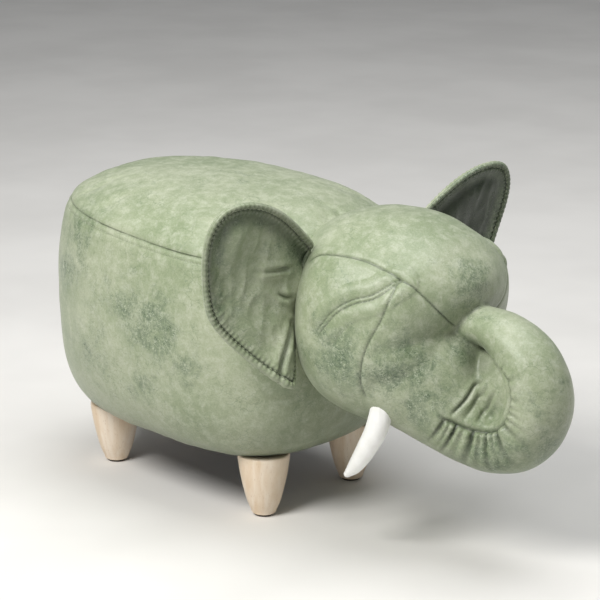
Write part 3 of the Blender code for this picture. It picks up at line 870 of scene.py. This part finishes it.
# ---------------------------------------------------------------- side panel and seat
AROUND = 440  # points round the body
HEM = (BODY_FLOOR_Z, 0.1600, 0.1150, -0.006, 3.0)
SEAM_EDGE = 0.0035
TOPSTITCH_DROP = 0.0065
SEAM_TURN_IN = 0.0045  # the edges turn in under the seam by this much


def side_panel():
    """The side cover: hem turned under, wall, and top edge turned into the seat seam."""
    rows = filled(WALL, 15)
    far = arc_length(rows[:, [1, 0]])
    far = far[-1] - far
    dip = -0.0012 * bump_at(far, 0.0016) - 0.0003 * bump_at(far - TOPSTITCH_DROP, 0.0009)
    dip += 0.0004 * bump_at(far - SEAM_EDGE, 0.0022) + 0.0005 * bump_at(far - 0.0120, 0.0060)
    rings = [oval(HEM, AROUND, lean=0.0)]
    rings += [oval(row, AROUND, outset=d) for row, d in zip(rows, dip)]
    rings.append(oval(rows[-1], AROUND, outset=-SEAM_TURN_IN, rise=-0.0012))
    rings += [
        oval(row, AROUND, outset=-0.0060, rise=-0.004 if k == 0 else 0) for k, row in enumerate(WALL[:0:-1])
    ]
    rings.append(oval((BODY_FLOOR_Z + 0.0018, 0.1625, 0.1165, -0.006, 3.0), AROUND, lean=0.0))
    panel = loft("side_cover", rings, closed_loop=True)
    points = points_of(panel.data)
    outer = np.zeros(len(points))
    outer[AROUND : AROUND * (1 + len(rows))] = 1
    above = points[:, 2] - BODY_FLOOR_Z
    soft = 0.0011 * wave(points, 16, 3.0) + 0.0004 * wave(points, 45, 8.0)
    hem_pull = 0.0009 * wave(points * (1, 1, 0.15), 60, 5.0) * np.exp(-above / 0.030)
    seam_pull = 0.0005 * wave(points * (1, 1, 0.2), 110, 9.0) * np.exp(-(SEAM_Z - points[:, 2]) / 0.018)
    move_out(panel.data, outer * (soft + hem_pull + seam_pull))
    # Painted shade in the seam groove, along the topstitching and at the bottom edge where the panel turns
    # under.
    painted_shade = np.zeros(len(points))
    painted_shade[AROUND : AROUND * (1 + len(rows))] = np.repeat(
        0.42 * bump_at(far, 0.0010) + 0.12 * bump_at(far - TOPSTITCH_DROP, 0.0006), AROUND
    )
    paint_leather(panel, np.clip(painted_shade + 0.5 * np.exp(-np.maximum(above, 0) / 0.006), 0, 1))
    line = points_of(panel.data)[AROUND : AROUND * (1 + len(rows))].reshape(len(rows), AROUND, 3)
    ring = line[np.abs(far - TOPSTITCH_DROP).argmin()]
    return panel, np.vstack([ring, ring[:1]])


def seat_cushion():
    """The seat cover with its foam: a low dome, pulled in at the seam."""
    rows = filled(DOME, 12)
    far = arc_length(rows[:, [1, 0]])
    dip = -0.0012 * bump_at(far, 0.0016) + 0.0006 * bump_at(far - 0.0075, 0.0060)
    low = (SEAT_BOARD_TOP + 0.0006, 0.1860, 0.1400, -0.002, 2.6)
    rings = [oval((low[0], 0.02, 0.015, -0.002, 2.0), AROUND, lean=0.0), oval(low, AROUND, lean=0.0)]
    rings.append(oval(rows[0], AROUND, outset=-SEAM_TURN_IN, rise=0.0012))
    rings += [oval(row, AROUND, outset=d) for row, d in zip(rows, dip)]
    seat = loft("seat_cushion", rings)
    start = points_of(seat.data)
    first = 3 * AROUND

    def pinned(points):
        low_side = np.flatnonzero(points[:, 2] < SEAM_Z - LEAN * (points[:, 0] - STOOL_X) + 0.004)
        return [(1.0, low_side)]

    swell(seat, SEAT_CLOTH_VOXEL, pinned, SEAT_CLOTH_REACH)
    points = points_of(seat.data)
    outer = np.zeros(len(points))
    outer[first:] = 1
    moved = points - start
    keep = np.concatenate([np.zeros(first), np.repeat(np.clip(far / 0.02, 0, 1), AROUND)])
    put_points(seat.data, start + moved * keep[:, None])
    soft = 0.0010 * wave(points, 14, 13.0) + 0.0003 * wave(points, 50, 2.0)
    move_out(seat.data, outer * soft * np.clip(keep, 0.2, 1))
    # Painted shade in the seam groove.
    painted_shade = np.zeros(len(points))
    painted_shade[first:] = np.repeat(0.42 * bump_at(far, 0.0010), AROUND)
    paint_leather(seat, painted_shade)
    return seat


side, topstitch = side_panel()
seat = seat_cushion()
seam_tree = tree_of(side)
stitch_line, stitch_normals = on_surface(seam_tree, topstitch)
seat_stitching = stitches("seat_stitching", stitch_line, stitch_normals, *SEAT_STITCH)

# ---------------------------------------------------------------- head and trunk
HEAD_VOXEL = 0.0019
BODY_CORE = Vector((STOOL_X, 0, 0.2))


def ellipsoid(centre, half):
    cx, cy, cz = centre
    tilt = np.linspace(0.08, np.pi - 0.08, 20)
    turn = circle(40)
    return [
        np.column_stack(
            [
                STOOL_X + cx + half[0] * math.sin(t) * np.cos(turn),
                cy + half[1] * math.sin(t) * np.sin(turn),
                np.full(40, cz - half[2] * math.cos(t)),
            ]
        )
        for t in tilt
    ]


def joined(name, objects):
    """One object from several, merged through voxels into one closed skin."""
    points, faces, first = [], [], 0
    for obj in objects:
        points.append(points_of(obj.data))
        faces += [tuple(first + v for v in face.vertices) for face in obj.data.polygons]
        first += len(obj.data.vertices)
        bpy.data.objects.remove(obj, do_unlink=True)
    whole = mesh_object(name, np.vstack(points), faces)
    remesh = whole.modifiers.new("voxels", "REMESH")
    remesh.mode = "VOXEL"
    remesh.voxel_size = HEAD_VOXEL
    return apply_modifiers(whole)


def head_skin():
    skull = loft("skull", sections(HEAD, 6, 96, HEAD_SQUARENESS, True))
    trunk = loft("trunk", sections(TRUNK, 8, 72, 2.0))
    trees = tree_of(skull), tree_of(trunk)
    bridge, panel = loft("bridge", ellipsoid(*BRIDGE)), loft("panel", ellipsoid(*CURL_PANEL))
    head = joined("head", [skull, trunk, bridge, panel])
    points, edges = points_of(head.data), edges_of(head.data)
    tip = np.array([STOOL_X + 0.372, 0.0, 0.252])
    near_tip = np.exp(-((np.linalg.norm(points - tip, axis=1) / 0.036) ** 4))
    points = relaxed(points, edges, 12, 0.5 * (1 - 0.93 * near_tip))
    put_points(head.data, points)
    meeting = np.zeros(len(points))
    for i in np.flatnonzero(near_tip > 0.02):
        gaps = [tree.find_nearest(points[i])[3] for tree in trees]
        meeting[i] = near_tip[i] * math.exp(-((sum(gaps) / 0.0030) ** 2))
    return head, meeting


def clear_of_body(head, body_tree, depth=0.003):
    """Draws what lies inside the body out to just under its surface, so that the head ends there."""
    points = points_of(head.data)
    core = np.array(BODY_CORE)
    for i in np.flatnonzero(points[:, 0] < STOOL_X + 0.230):
        way = points[i] - core
        length = np.linalg.norm(way)
        hit = body_tree.ray_cast(BODY_CORE + Vector(way / length) * 0.5, Vector(-way / length))
        if hit[0] is None:
            continue
        surface = np.linalg.norm(np.array(hit[0]) - core)
        if length < surface - depth:
            points[i] = core + way / length * (surface - depth)
    put_points(head.data, points)


def sewn_lines(tree):
    lines = {}
    for name, line in (
        ("top", TOP_SEAM),
        ("felled", FELLED_DART),
        ("plain", PLAIN_DART),
        ("curl", CURL_SEAM),
        *((f"fold{k}", fold) for k, fold in enumerate(PANEL_FOLDS)),
    ):
        dense = filled(line, 12)
        lines[f"{name}_right"] = on_surface(tree, dense)[0]
        lines[f"{name}_left"] = on_surface(tree, mirrored(dense))[0]
    return lines


def gathers(points, line, centre):
    """Creases that run out from the curl's seam into the trunk, strongest under it, with painted shade in their
    troughs.
    """
    distance, place, total = near_line(points, line, 0.045)
    near = np.isfinite(distance)
    out = np.linalg.norm(points[:, [0, 2]] - centre[[0, 2]], axis=1)
    dense, along = evenly(line, 0.0005)
    seam_out = np.linalg.norm(dense[:, [0, 2]] - centre[[0, 2]], axis=1)
    outside = near & (out > np.interp(place, along, seam_out) - 0.0005)
    t = place / total
    strength = np.interp(t, [0, 0.08, 0.20, 0.42, 0.60, 0.80, 1.0], [0.7, 1.0, 1.1, 1.0, 0.45, 0.35, 0.2])
    length = np.interp(t, [0, 0.10, 0.42, 0.60, 1.0], [0.026, 0.032, 0.030, 0.014, 0.010])
    wander = 0.004 * np.interp(place, np.linspace(0, total, 9), [0, 0.6, -0.4, 0.8, -0.7, 0.3, -0.5, 0.6, 0])
    phase = 2 * np.pi * (place + wander + 0.05 * np.where(near, distance, 0)) / 0.0078
    ridge = np.cos(phase) * 0.7 + np.cos(phase * 0.53 + 1.3) * 0.45
    ridge = np.where(ridge < 0, -np.abs(ridge) ** 0.8 * 1.3, ridge)
    fade = np.exp(-((np.where(near, distance, 1) / length) ** 2))
    amount = np.where(outside, 0.0024 * strength * fade * np.clip(distance, 0, 0.004) / 0.004 * ridge, 0)
    # Painted shade in the gathers' troughs.
    dark = np.where(outside, 0.95 * strength * fade * np.clip(-ridge - 0.30, 0, 1), 0)
    return amount, dark


def sew_head(head, lines, meeting):
    points = points_of(head.data)
    amount = 0.0010 * wave(points, 15, 21.0) + 0.0004 * wave(points, 48, 4.0) - 0.0014 * meeting
    # Painted shade where the trunk's tip meets the forehead.
    painted_shade = 0.95 * meeting
    curl_centre = np.array([STOOL_X + CURL_PANEL[0][0], 0, CURL_PANEL[0][2]])
    # Painted shade in the recess beside the curl panel, on both halves.
    recess = np.array([0.263, 0.024, 0.232])
    painted_shade = np.maximum(painted_shade, 0.5 * bump_at(np.linalg.norm(folded_left(points) - recess, axis=1), 0.020))
    for half in ("right", "left"):
        for name, width, depth, puff, reach in (
            ("top", 0.0013, 0.0015, 0.0008, 0.007),
            ("plain", 0.0012, 0.0012, 0.0005, 0.005),
            ("curl", 0.0019, 0.0032, 0.0016, 0.006),
        ):
            distance, place, end = near_line(points, lines[f"{name}_{half}"], 0.020)
            fade = np.clip(np.minimum(place, end - place) / 0.008 + 0.25, 0, 1)
            amount += fade * (puff * bump_at(distance - reach, 0.6 * reach) - depth * bump_at(distance, width))
            # Painted shade in the seam grooves.
            painted_shade = np.maximum(painted_shade, fade * 0.75 * bump_at(distance, 0.75 * width))
        # The felled dart is a raised strip between two lines.
        distance, place, end = near_line(points, lines[f"felled_{half}"], 0.020)
        wide = 0.0004 + 0.0009 * np.clip(place / 0.03, 0, 1)
        fade = np.clip((end - place) / 0.012, 0, 1)
        amount += fade * (0.0009 * bump_at(distance, wide) - 0.0014 * bump_at(distance - wide - 0.0010, 0.0010))
        amount += fade * 0.0022 * bump_at(distance - 0.012, 0.008)
        # Painted shade in the groove beside the dart.
        painted_shade = np.maximum(painted_shade, fade * 0.7 * bump_at(distance - wide - 0.0010, 0.0007))
        for k in range(len(PANEL_FOLDS)):
            distance, place, end = near_line(points, lines[f"fold{k}_{half}"], 0.016)
            fade = np.sin(np.pi * np.clip(place / end, 0, 1)) ** 0.5 * (1.0, 0.75, 0.5)[k]
            amount += fade * (0.0018 * bump_at(distance - 0.0045, 0.0030) - 0.0032 * bump_at(distance, 0.0016))
            # Painted shade in the fold's trough.
            painted_shade = np.maximum(painted_shade, fade * 0.6 * bump_at(distance, 0.0012))
        out, dark = gathers(points, lines[f"curl_{half}"], curl_centre)
        amount += out
        # Painted shade in the gathers' troughs.
        painted_shade = np.maximum(painted_shade, dark)
    move_out(head.data, amount)
    paint_leather(head, np.clip(painted_shade, 0, 1))


head, tip_meeting = head_skin()
body_tree = BVHTree.FromPolygons(
    [tuple(p) for p in np.vstack([points_of(side.data), points_of(seat.data)])],
    [tuple(f.vertices) for f in side.data.polygons]
    + [tuple(v + len(side.data.vertices) for v in f.vertices) for f in seat.data.polygons],
)
head_lines = sewn_lines(tree_of(head))


def head_pins(points):
    """The coarse head is held at its seams, its tip and where the body backs it."""
    held = points[:, 0] < STOOL_X + 0.215
    for line in head_lines.values():
        held |= np.isfinite(near_line(points, line, 0.006)[0])
    return [(1.0, np.flatnonzero(held))]


swell(head, HEAD_CLOTH_VOXEL, head_pins, HEAD_CLOTH_REACH)
clear_of_body(head, body_tree)
head_lines = {name: on_surface(tree_of(head), line)[0] for name, line in head_lines.items()}
sew_head(head, head_lines, tip_meeting)

# ---------------------------------------------------------------- ears
EAR_LEVELS = 5
ROOT_TUCK = 0.012
RIM_SEAM = 0.0085


def to_left_ear(points):
    """Carries points on the ear pattern to where the left ear stands, lower and further forward."""
    low, high = Vector(EAR_HINGE_LOW), Vector(EAR_HINGE_HIGH)
    turn = Matrix.Rotation(math.radians(-LEFT_EAR_TURN), 3, (high - low).normalized())
    droop = Matrix.Rotation(math.radians(-LEFT_EAR_DROOP), 3, "X")
    low = np.array(low)
    return (points - low) @ np.array(droop @ turn).T + low - (0, 0, LEFT_EAR_DROP)


def ear_cage(side):
    """The ear pattern with a column tucked into the head, placed for this side (-1 right, 1 left)."""
    rows = np.array(EAR)
    tuck = rows[:, 0] - rows[:, 1]
    tuck /= np.linalg.norm(tuck, axis=1, keepdims=True)
    rows = np.concatenate([(rows[:, 0] + tuck * ROOT_TUCK)[:, None], rows], axis=1)
    if side > 0:
        rows = to_left_ear(rows)
    return rows * (1, side, 1) + (STOOL_X, 0, 0)


def ear_sheet(name, rows, side, levels, thick=None):
    count = rows.shape[1]
    faces = []
    for r in range(rows.shape[0] - 1):
        for c in range(count - 1):
            a = r * count + c
            quad = (a, a + 1, a + 1 + count, a + count)
            faces.append(quad if side < 0 else quad[::-1])
    sheet = mesh_object(name, rows.reshape(-1, 3), faces)
    if thick:
        group = sheet.vertex_groups.new(name="full")
        group.add(list(range(rows.shape[0] * count)), 1.0, "REPLACE")
        group.add([r * count + c for r in range(rows.shape[0]) for c in (0, 1)], 0.45, "REPLACE")
        solid = sheet.modifiers.new("thickness", "SOLIDIFY")
        solid.thickness = thick
        solid.offset = 0
        solid.vertex_group = "full"
    soft = sheet.modifiers.new("round", "SUBSURF")
    soft.levels = soft.render_levels = levels
    return apply_modifiers(sheet)


def b_spline(points, steps):
    points = np.asarray(points, float)
    points = np.vstack([2 * points[0] - points[1], points, 2 * points[-1] - points[-2]])
    t = (np.arange(steps) / steps)[:, None]
    out = []
    for a, b, c, d in zip(points, points[1:], points[2:], points[3:]):
        inner = b * (3 * t**3 - 6 * t**2 + 4)
        out.append((a * (1 - t) ** 3 + inner + c * (-3 * t**3 + 3 * t**2 + 3 * t + 1) + d * t**3) / 6)
    return np.vstack(out)


# Creases on the right ear's front, in the part's frame: line, depth, width. The left ear mirrors them.
EAR_CREASES = (
    (((0.0785, -0.160, 0.3185), (0.083, -0.137, 0.317), (0.0845, -0.112, 0.315)), 0.0045, 0.0026),
    (
        ((0.0825, -0.112, 0.254), (0.089, -0.1265, 0.233), (0.093, -0.139, 0.211), (0.0935, -0.142, 0.197)),
        0.0055,
        0.0030,
    ),
    (((0.0615, -0.206, 0.266), (0.0675, -0.1975, 0.275), (0.070, -0.187, 0.284)), 0.0024, 0.0020),
    (((0.069, -0.206, 0.313), (0.0705, -0.202, 0.319), (0.072, -0.1985, 0.3245)), 0.0026, 0.0022),
    (((0.0675, -0.204, 0.292), (0.069, -0.196, 0.300), (0.0705, -0.190, 0.3065)), 0.0026, 0.0022),
    (((0.083, -0.112, 0.2815), (0.083, -0.120, 0.2835), (0.082, -0.130, 0.289)), 0.0034, 0.0024),
)


def ear_piece(side, word):
    rows = ear_cage(side)
    ear = ear_sheet(f"{word}_ear_padded", rows, side, EAR_LEVELS, EAR_T)
    middle_sheet = ear_sheet(f"{word}_ear_middle", rows, side, 4)
    rim = b_spline([*rows[0], *rows[1:-1, -1], *rows[-1][::-1]], 24)
    rim = evenly(rim, 0.001)[0]
    points, normals = points_of(ear.data), normals_of(ear.data)
    distance, place, rim_length = near_line(points, rim, 0.060)
    facing_front = normals[:, 0] > 0
    field = np.where(np.isfinite(distance), distance, 0.060)
    pucker = np.cos(2 * np.pi * place / 0.0062)
    upper = np.clip((place / rim_length - 0.34) / 0.16, 0, 1)
    amount = -0.0019 * bump_at(field - RIM_SEAM, 0.0017)
    amount += 0.0009 * bump_at(field - 0.0040, 0.0030)
    amount += 0.0010 * (1 - np.exp(-np.maximum(field - RIM_SEAM, 0) / 0.010))
    amount += 0.0009 * pucker * bump_at(field - RIM_SEAM, 0.0050)
    inner = np.clip((field - RIM_SEAM) / 0.02, 0, 1)
    # Folds move both faces together, so that the pad bends instead of thinning.
    fold = 0.0060 * upper * bump_at(field - 0.020, 0.012)
    fold += 0.0034 * wave(points, 26, 6.0 + side) * inner
    fold += 0.0034 * (np.abs(wave(points * (1, 1.3, 0.7), 46, 31.0 + side)) - 0.25) * inner
    # Painted shade: a band under the top rim of the right ear, the whole front of the left ear, and the rim's
    # seam groove.
    top = np.clip((place / rim_length - 0.50) / 0.12, 0, 1)
    shade = 0.40 * upper * bump_at(field - 0.010, 0.008)
    shade = np.maximum(shade, 0.52 * top * bump_at(field - 0.016, 0.012)) * facing_front
    if side > 0:
        shade = np.maximum(shade, 1.0 * facing_front * inner)
    painted_shade = np.maximum(0.8 * bump_at(field - RIM_SEAM, 0.0012), shade)
    for line, depth, width in EAR_CREASES:
        line = filled(line, 12)
        if side > 0:
            line = to_left_ear(mirrored(line) - (STOOL_X, 0, 0)) + (STOOL_X, 0, 0)
        gap, along, end = near_line(points, line, 0.020)
        fade = np.sin(np.pi * np.clip(along / end, 0.04, 0.96)) ** 0.6
        fold += fade * (depth * bump_at(gap, width) - 0.6 * depth * bump_at(gap - 2.2 * width, 1.6 * width))
        # Painted shade in the fold's trough.
        painted_shade = np.maximum(painted_shade, fade * 0.6 * facing_front * bump_at(gap, 0.55 * width))
    amount += np.where(facing_front, -fold, 0.8 * fold)
    worn = 0.35 * bump_at(field - 0.0030, 0.0028) * (0.6 + 0.4 * pucker)
    put_points(ear.data, points + normals * amount[:, None])
    # Painted shade through the rubbed mask as well: the whole front of the left ear, and a band near the top
    # rim of the right ear, where it also stands for rubbed mottling.
    rubbed_and_painted_shade = facing_front * (0.95 if side > 0 else upper * 0.85 * bump_at(field - 0.020, 0.012))
    paint_leather(ear, np.clip(painted_shade, 0, 1), rubbed_and_painted_shade, np.clip(worn, 0, 1))
    # Topstitching on both faces, a rim's width inside the edge.
    flat_tree, ear_tree = tree_of(middle_sheet), tree_of(ear)
    start, stop = int(0.10 * len(rim)), int(0.93 * len(rim))
    walk = rim[start:stop]
    centre = points_of(middle_sheet.data).mean(0)
    rows_of_stitches = []
    for face in (1, -1):
        spots, tops = [], []
        for i, p in enumerate(walk):
            ahead = walk[min(i + 3, len(walk) - 1)] - walk[max(i - 3, 0)]
            normal = np.array(flat_tree.find_nearest(p)[1])
            inward = np.cross(normal, ahead)
            inward /= np.linalg.norm(inward)
            if inward @ (centre - p) < 0:
                inward = -inward
            base, up, _, _ = flat_tree.find_nearest(p + inward * 0.0070)
            up = np.array(up) * face
            hit = ear_tree.ray_cast(Vector(np.array(base) + up * 0.020), Vector(-up))
            if hit[0] is not None:
                spots.append(hit[0])
                tops.append(up)
        rows_of_stitches.append((np.array(spots), np.array(tops)))
    bpy.data.objects.remove(middle_sheet, do_unlink=True)
    sewn = [
        stitches(f"{word}_ear_stitching_{where}", *row, *EAR_STITCH)
        for row, where in zip(rows_of_stitches, ("front", "back"))
    ]
    low, high = np.array(EAR_HINGE_LOW), np.array(EAR_HINGE_HIGH)
    hinge = (low + high) / 2 * (1, side, 1) + (STOOL_X, 0, 0)
    out = rows[4, 2] - rows[4, 1]
    out = out / np.linalg.norm(out)
    return ear, sewn, hinge - out * 0.010, hinge + out * 0.016


ears = {word: ear_piece(side, word) for word, side in (("right", -1), ("left", 1))}

# ---------------------------------------------------------------- tusks


def tube(name, line, side, columns, steps):
    """A round tube of changing radius along ((x, y, z), radius) points, with a domed end."""
    rows = filled([(*p, r) for p, r in line], steps)
    middle_line = rows[:, :3] * (1, side, 1) + (STOOL_X, 0, 0)
    radius = rows[:, 3]
    turn = circle(columns)
    rings = []
    for i, (p, r) in enumerate(zip(middle_line, radius)):
        along = middle_line[min(i + 1, len(rows) - 1)] - middle_line[max(i - 1, 0)]
        along /= np.linalg.norm(along)
        side_way = np.cross(along, (0, 1, 0))
        side_way /= np.linalg.norm(side_way)
        up = np.cross(side_way, along)
        rings.append(p + r * (np.outer(np.cos(turn), side_way) - np.outer(np.sin(turn), up)))
    end = middle_line[-1] - middle_line[-2]
    end /= np.linalg.norm(end)
    last = rings[-1]
    for angle in np.radians([25, 50, 70, 84]):
        shrunk = middle_line[-1] + (last - middle_line[-1]) * math.cos(angle)
        rings.append(shrunk + end * radius[-1] * math.sin(angle))
    return loft(name, rings), rows


def tusk_piece(side, word):
    tusk, rows = tube(f"{word}_tusk_padded", TUSK, side, 48, 16)
    mesh = tusk.data
    points, normals = points_of(mesh), normals_of(mesh)
    line = rows[:, :3] * (1, side, 1) + (STOOL_X, 0, 0)
    rear = line - np.column_stack([rows[:, 3] * 0.9, np.zeros(len(rows)), np.zeros(len(rows))])
    distance, place, _ = near_line(points, rear, 0.020)
    pucker = np.cos(2 * np.pi * place / 0.006)
    amount = -0.0008 * bump_at(distance, 0.0012) + 0.0002 * pucker * bump_at(distance, 0.005)
    amount += 0.00015 * wave(points * (1, 1, 0.6), 70, 17.0 + side)
    root = np.array([STOOL_X + 0.305, side * 0.089, 0.176])
    near_root = np.exp(-((np.linalg.norm(points - root, axis=1) / 0.016) ** 2))
    around = np.arctan2(points[:, 1] - root[1], points[:, 0] - root[0])
    amount += near_root * 0.0003 * np.cos(11 * around)
    put_points(mesh, points + normals * amount[:, None])
    # Painted shade in the seam groove and round the root.
    put_values(mesh, "painted_shade", np.clip(0.7 * bump_at(distance, 0.0009) + 0.25 * near_root, 0, 1))
    return tusk


tusks = {word: tusk_piece(side, word) for word, side in (("right", -1), ("left", 1))}

# ---------------------------------------------------------------- legs
LEG_BORE_R = 0.0045
LEG_BORE_END_Z = 0.0395
# Turned outline from the foot up: radius, height.
LEG_PROFILE = (
    (0.0110, 0.0024),
    (0.0134, 0.0028),
    (0.0146, 0.0042),
    (0.0151, 0.0064),
    (0.0196, 0.0180),
    (0.0237, 0.0340),
    (0.0270, 0.0500),
    (0.0291, 0.0640),
    (0.0299, 0.0705),
    (0.0298, 0.0735),
    (0.0290, 0.0750),
    (0.0270, 0.0755),
)


def leg_piece(node):
    spot = middle(node)
    rows = filled(LEG_PROFILE, 6)
    rows = [*rows, (LEG_BORE_R, LEG_TOP_Z), (LEG_BORE_R, LEG_BORE_END_Z)]
    return loft(f"{node}_turned", [hoop(spot.x, spot.y, r, z, 64) for r, z in rows])


turned_legs = {leg: leg_piece(leg) for leg in LEGS}

# ---------------------------------------------------------------- tail


def tail_piece():
    cord, rows = tube("tail_cord_sewn", TAIL, 1, 24, 12)
    points, normals = points_of(cord.data), normals_of(cord.data)
    line = rows[:, :3] + (STOOL_X, 0, 0) - (0.0050, 0, 0)
    distance, place, _ = near_line(points, line, 0.020)
    amount = -0.0009 * bump_at(distance, 0.0010)
    amount += 0.00025 * np.cos(2 * np.pi * place / 0.005) * bump_at(distance, 0.003)
    amount += 0.0003 * wave(points, 120, 5.0)
    put_points(cord.data, points + normals * amount[:, None])
    # Painted shade in the seam groove.
    paint_leather(cord, np.clip(0.8 * bump_at(distance, 0.0008), 0, 1))
    return cord


def tuft_piece():
    """Strips of leatherette cut as a fringe, bound round the end of the cord."""
    chance = random.Random(7)
    x0 = STOOL_X + TAIL[-1][0][0]
    points, faces = [], []
    for ring_r, count, phase in ((0.0064, 9, 0.0), (0.0082, 12, 0.3)):
        for k in range(count):
            turn = 2 * math.pi * k / count + phase
            out = np.array([math.cos(turn), math.sin(turn), 0])
            side_way = np.array([-math.sin(turn), math.cos(turn), 0])
            drop = TUFT_TOP_Z - TUFT_LOW_Z - chance.uniform(0.0, 0.009)
            flare = chance.uniform(0.4, 1.0) * 0.0028
            sway = chance.uniform(-0.0016, 0.0016)
            first = len(points)
            for t in np.linspace(0, 1, 9):
                reach = ring_r + flare * math.sin(math.pi * t**0.8) - 0.0042 * t**2
                centre = np.array([x0, 0, TUFT_TOP_Z - drop * t]) + out * reach + side_way * sway * t
                half = 0.0019 * (1 - 0.55 * t**2)
                for a, b in ((-1, -1), (1, -1), (1, 1), (-1, 1)):
                    points.append(centre + side_way * half * a + out * 0.0006 * b)
            for r in range(8):
                for i in range(4):
                    a, b = first + 4 * r + i, first + 4 * r + (i + 1) % 4
                    faces.append((a, b, b + 4, a + 4)[::-1])
            faces.append(tuple(first + i for i in range(4)))
            faces.append(tuple(first + 32 + i for i in range(4))[::-1])
    tuft = mesh_object("tail_tuft_fringe", np.array(points), faces)
    soft = tuft.modifiers.new("soft", "SUBSURF")
    soft.levels = soft.render_levels = 1
    apply_modifiers(tuft)
    # Painted shade towards the top of the strips, where they go under the binding.
    paint_leather(tuft, np.clip((points_of(tuft.data)[:, 2] - 0.200) / 0.004, 0, 0.7), 0.5)
    return tuft


# Outline of the band from its top down: radius, height.
BINDING_PROFILE = (
    (0.0059, 0.2085),
    (0.0082, 0.2080),
    (0.0096, 0.2055),
    (0.0098, 0.2010),
    (0.0092, 0.1985),
    (0.0080, 0.1980),
)


def binding_piece():
    """A turned-over band that binds the fringe to the cord."""
    x0 = STOOL_X + TAIL[-1][0][0]
    rings = [hoop(x0, 0, r, z, 40) for r, z in filled(BINDING_PROFILE, 4)[::-1]]
    band = loft("tail_binding", rings, close_ends=False, closed_loop=True)
    paint_leather(band, worn=0.2)
    return band


tail_cord, tail_tuft, tail_binding = tail_piece(), tuft_piece(), binding_piece()

# ---------------------------------------------------------------- finishes and bodies
finish_piece(side, LEATHER, "stool", ("body_cover", "side_foam"))
finish_piece(seat, LEATHER, "stool", ("seat_cover", "seat_foam"))
finish_piece(seat_stitching, THREAD, "stool")
finish_piece(head, LEATHER, "stool", ("head_cover", "head_filling"))
for word, (ear, sewn, start, end) in ears.items():
    finish_piece(ear, LEATHER, None, (f"ear_{word}", f"ear_padding_{word}"))
    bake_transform(ear)
    for row in sewn:
        finish_piece(row, THREAD, None)
        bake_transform(row)
for word, tusk in tusks.items():
    finish_piece(tusk, SATIN, "stool", (f"tusk_{word}", f"tusk_filling_{word}"))
for node, leg in turned_legs.items():
    finish_piece(leg, BEECH, "stool", (node,))
finish_piece(tail_cord, LEATHER, "tail", ("tail_cord",))
finish_piece(tail_tuft, LEATHER, "tail", ("tail_tuft",))
finish_piece(tail_binding, LEATHER, "tail")

CARRIED = {
    "leg_glide": FELT,
    "dust_cover": NONWOVEN,
    "leg_bolt": ZINC,
    "leg_nut": ZINC,
    "base_board": PLYWOOD,
    "seat_board": PLYWOOD,
    "head_board": PLYWOOD,
    "post": PLYWOOD,
}
for node, obj in frame["nodes"].items():
    for start, material in CARRIED.items():
        if node.startswith(start):
            obj.data.materials.clear()
            obj.data.materials.append(material)

# ---------------------------------------------------------------- floor, lights and camera


FLOOR_HALF = 20.0
CAMERA_PLACE = (1.48018, -1.59373, 0.89368)
CAMERA_AZIMUTH = math.radians(43.06)
CAMERA_ELEVATION = math.radians(16.8)
CAMERA_LENS_MM = 120
CAMERA_SENSOR_MM = 36
SKY_COLOUR = (0.90, 0.92, 0.95, 1)
SKY_STRENGTH = 0.24


def floor():
    corners = np.array([(-1, -1, 0), (1, -1, 0), (1, 1, 0), (-1, 1, 0)], float)
    made = mesh_object("floor", corners * FLOOR_HALF, [(0, 1, 2, 3)])
    material, tree, shader, where = new_material("pale_floor", Roughness=0.7, Specular_IOR_Level=0.2)
    tone = cloud(where, 3, 3)
    tree.links.new(
        blended(ramp(tone, 0.3, 0.7), colour(224, 222, 218), colour(232, 230, 226)),
        shader.inputs["Base Color"],
    )
    made.data.materials.append(material)


def soft_light(name, place, target, size, power, tint=(1, 1, 1)):
    light = bpy.data.lights.new(name, "AREA")
    light.shape = "DISK"
    light.size = size
    light.energy = power
    light.color = tint
    obj = bpy.data.objects.new(name, light)
    bpy.context.scene.collection.objects.link(obj)
    obj.location = place
    obj.rotation_euler = (Vector(target) - Vector(place)).to_track_quat("-Z", "Y").to_euler()


def camera():
    data = bpy.data.cameras.new("camera")
    data.lens = CAMERA_LENS_MM
    data.sensor_width = CAMERA_SENSOR_MM
    obj = bpy.data.objects.new("camera", data)
    bpy.context.scene.collection.objects.link(obj)
    obj.location = CAMERA_PLACE
    level = math.cos(CAMERA_ELEVATION)
    ahead = Vector(
        (-math.sin(CAMERA_AZIMUTH) * level, math.cos(CAMERA_AZIMUTH) * level, -math.sin(CAMERA_ELEVATION))
    )
    obj.rotation_euler = ahead.to_track_quat("-Z", "Y").to_euler()
    bpy.context.scene.camera = obj


def world():
    sky = bpy.data.worlds.new("pale_room")
    sky.use_nodes = True
    sky.node_tree.nodes["Background"].inputs["Color"].default_value = SKY_COLOUR
    sky.node_tree.nodes["Background"].inputs["Strength"].default_value = SKY_STRENGTH
    bpy.context.scene.world = sky


floor()
world()
soft_light("key", (0.10, -1.70, 2.00), (0, 0, 0.2), 1.0, 56, (1.0, 0.99, 0.97))
soft_light("top", (0.3, 0.5, 3.2), (0, 0.3, 0), 2.6, 62, (0.98, 0.99, 1.0))
camera()

bpy.context.scene.view_settings.view_transform = "Standard"
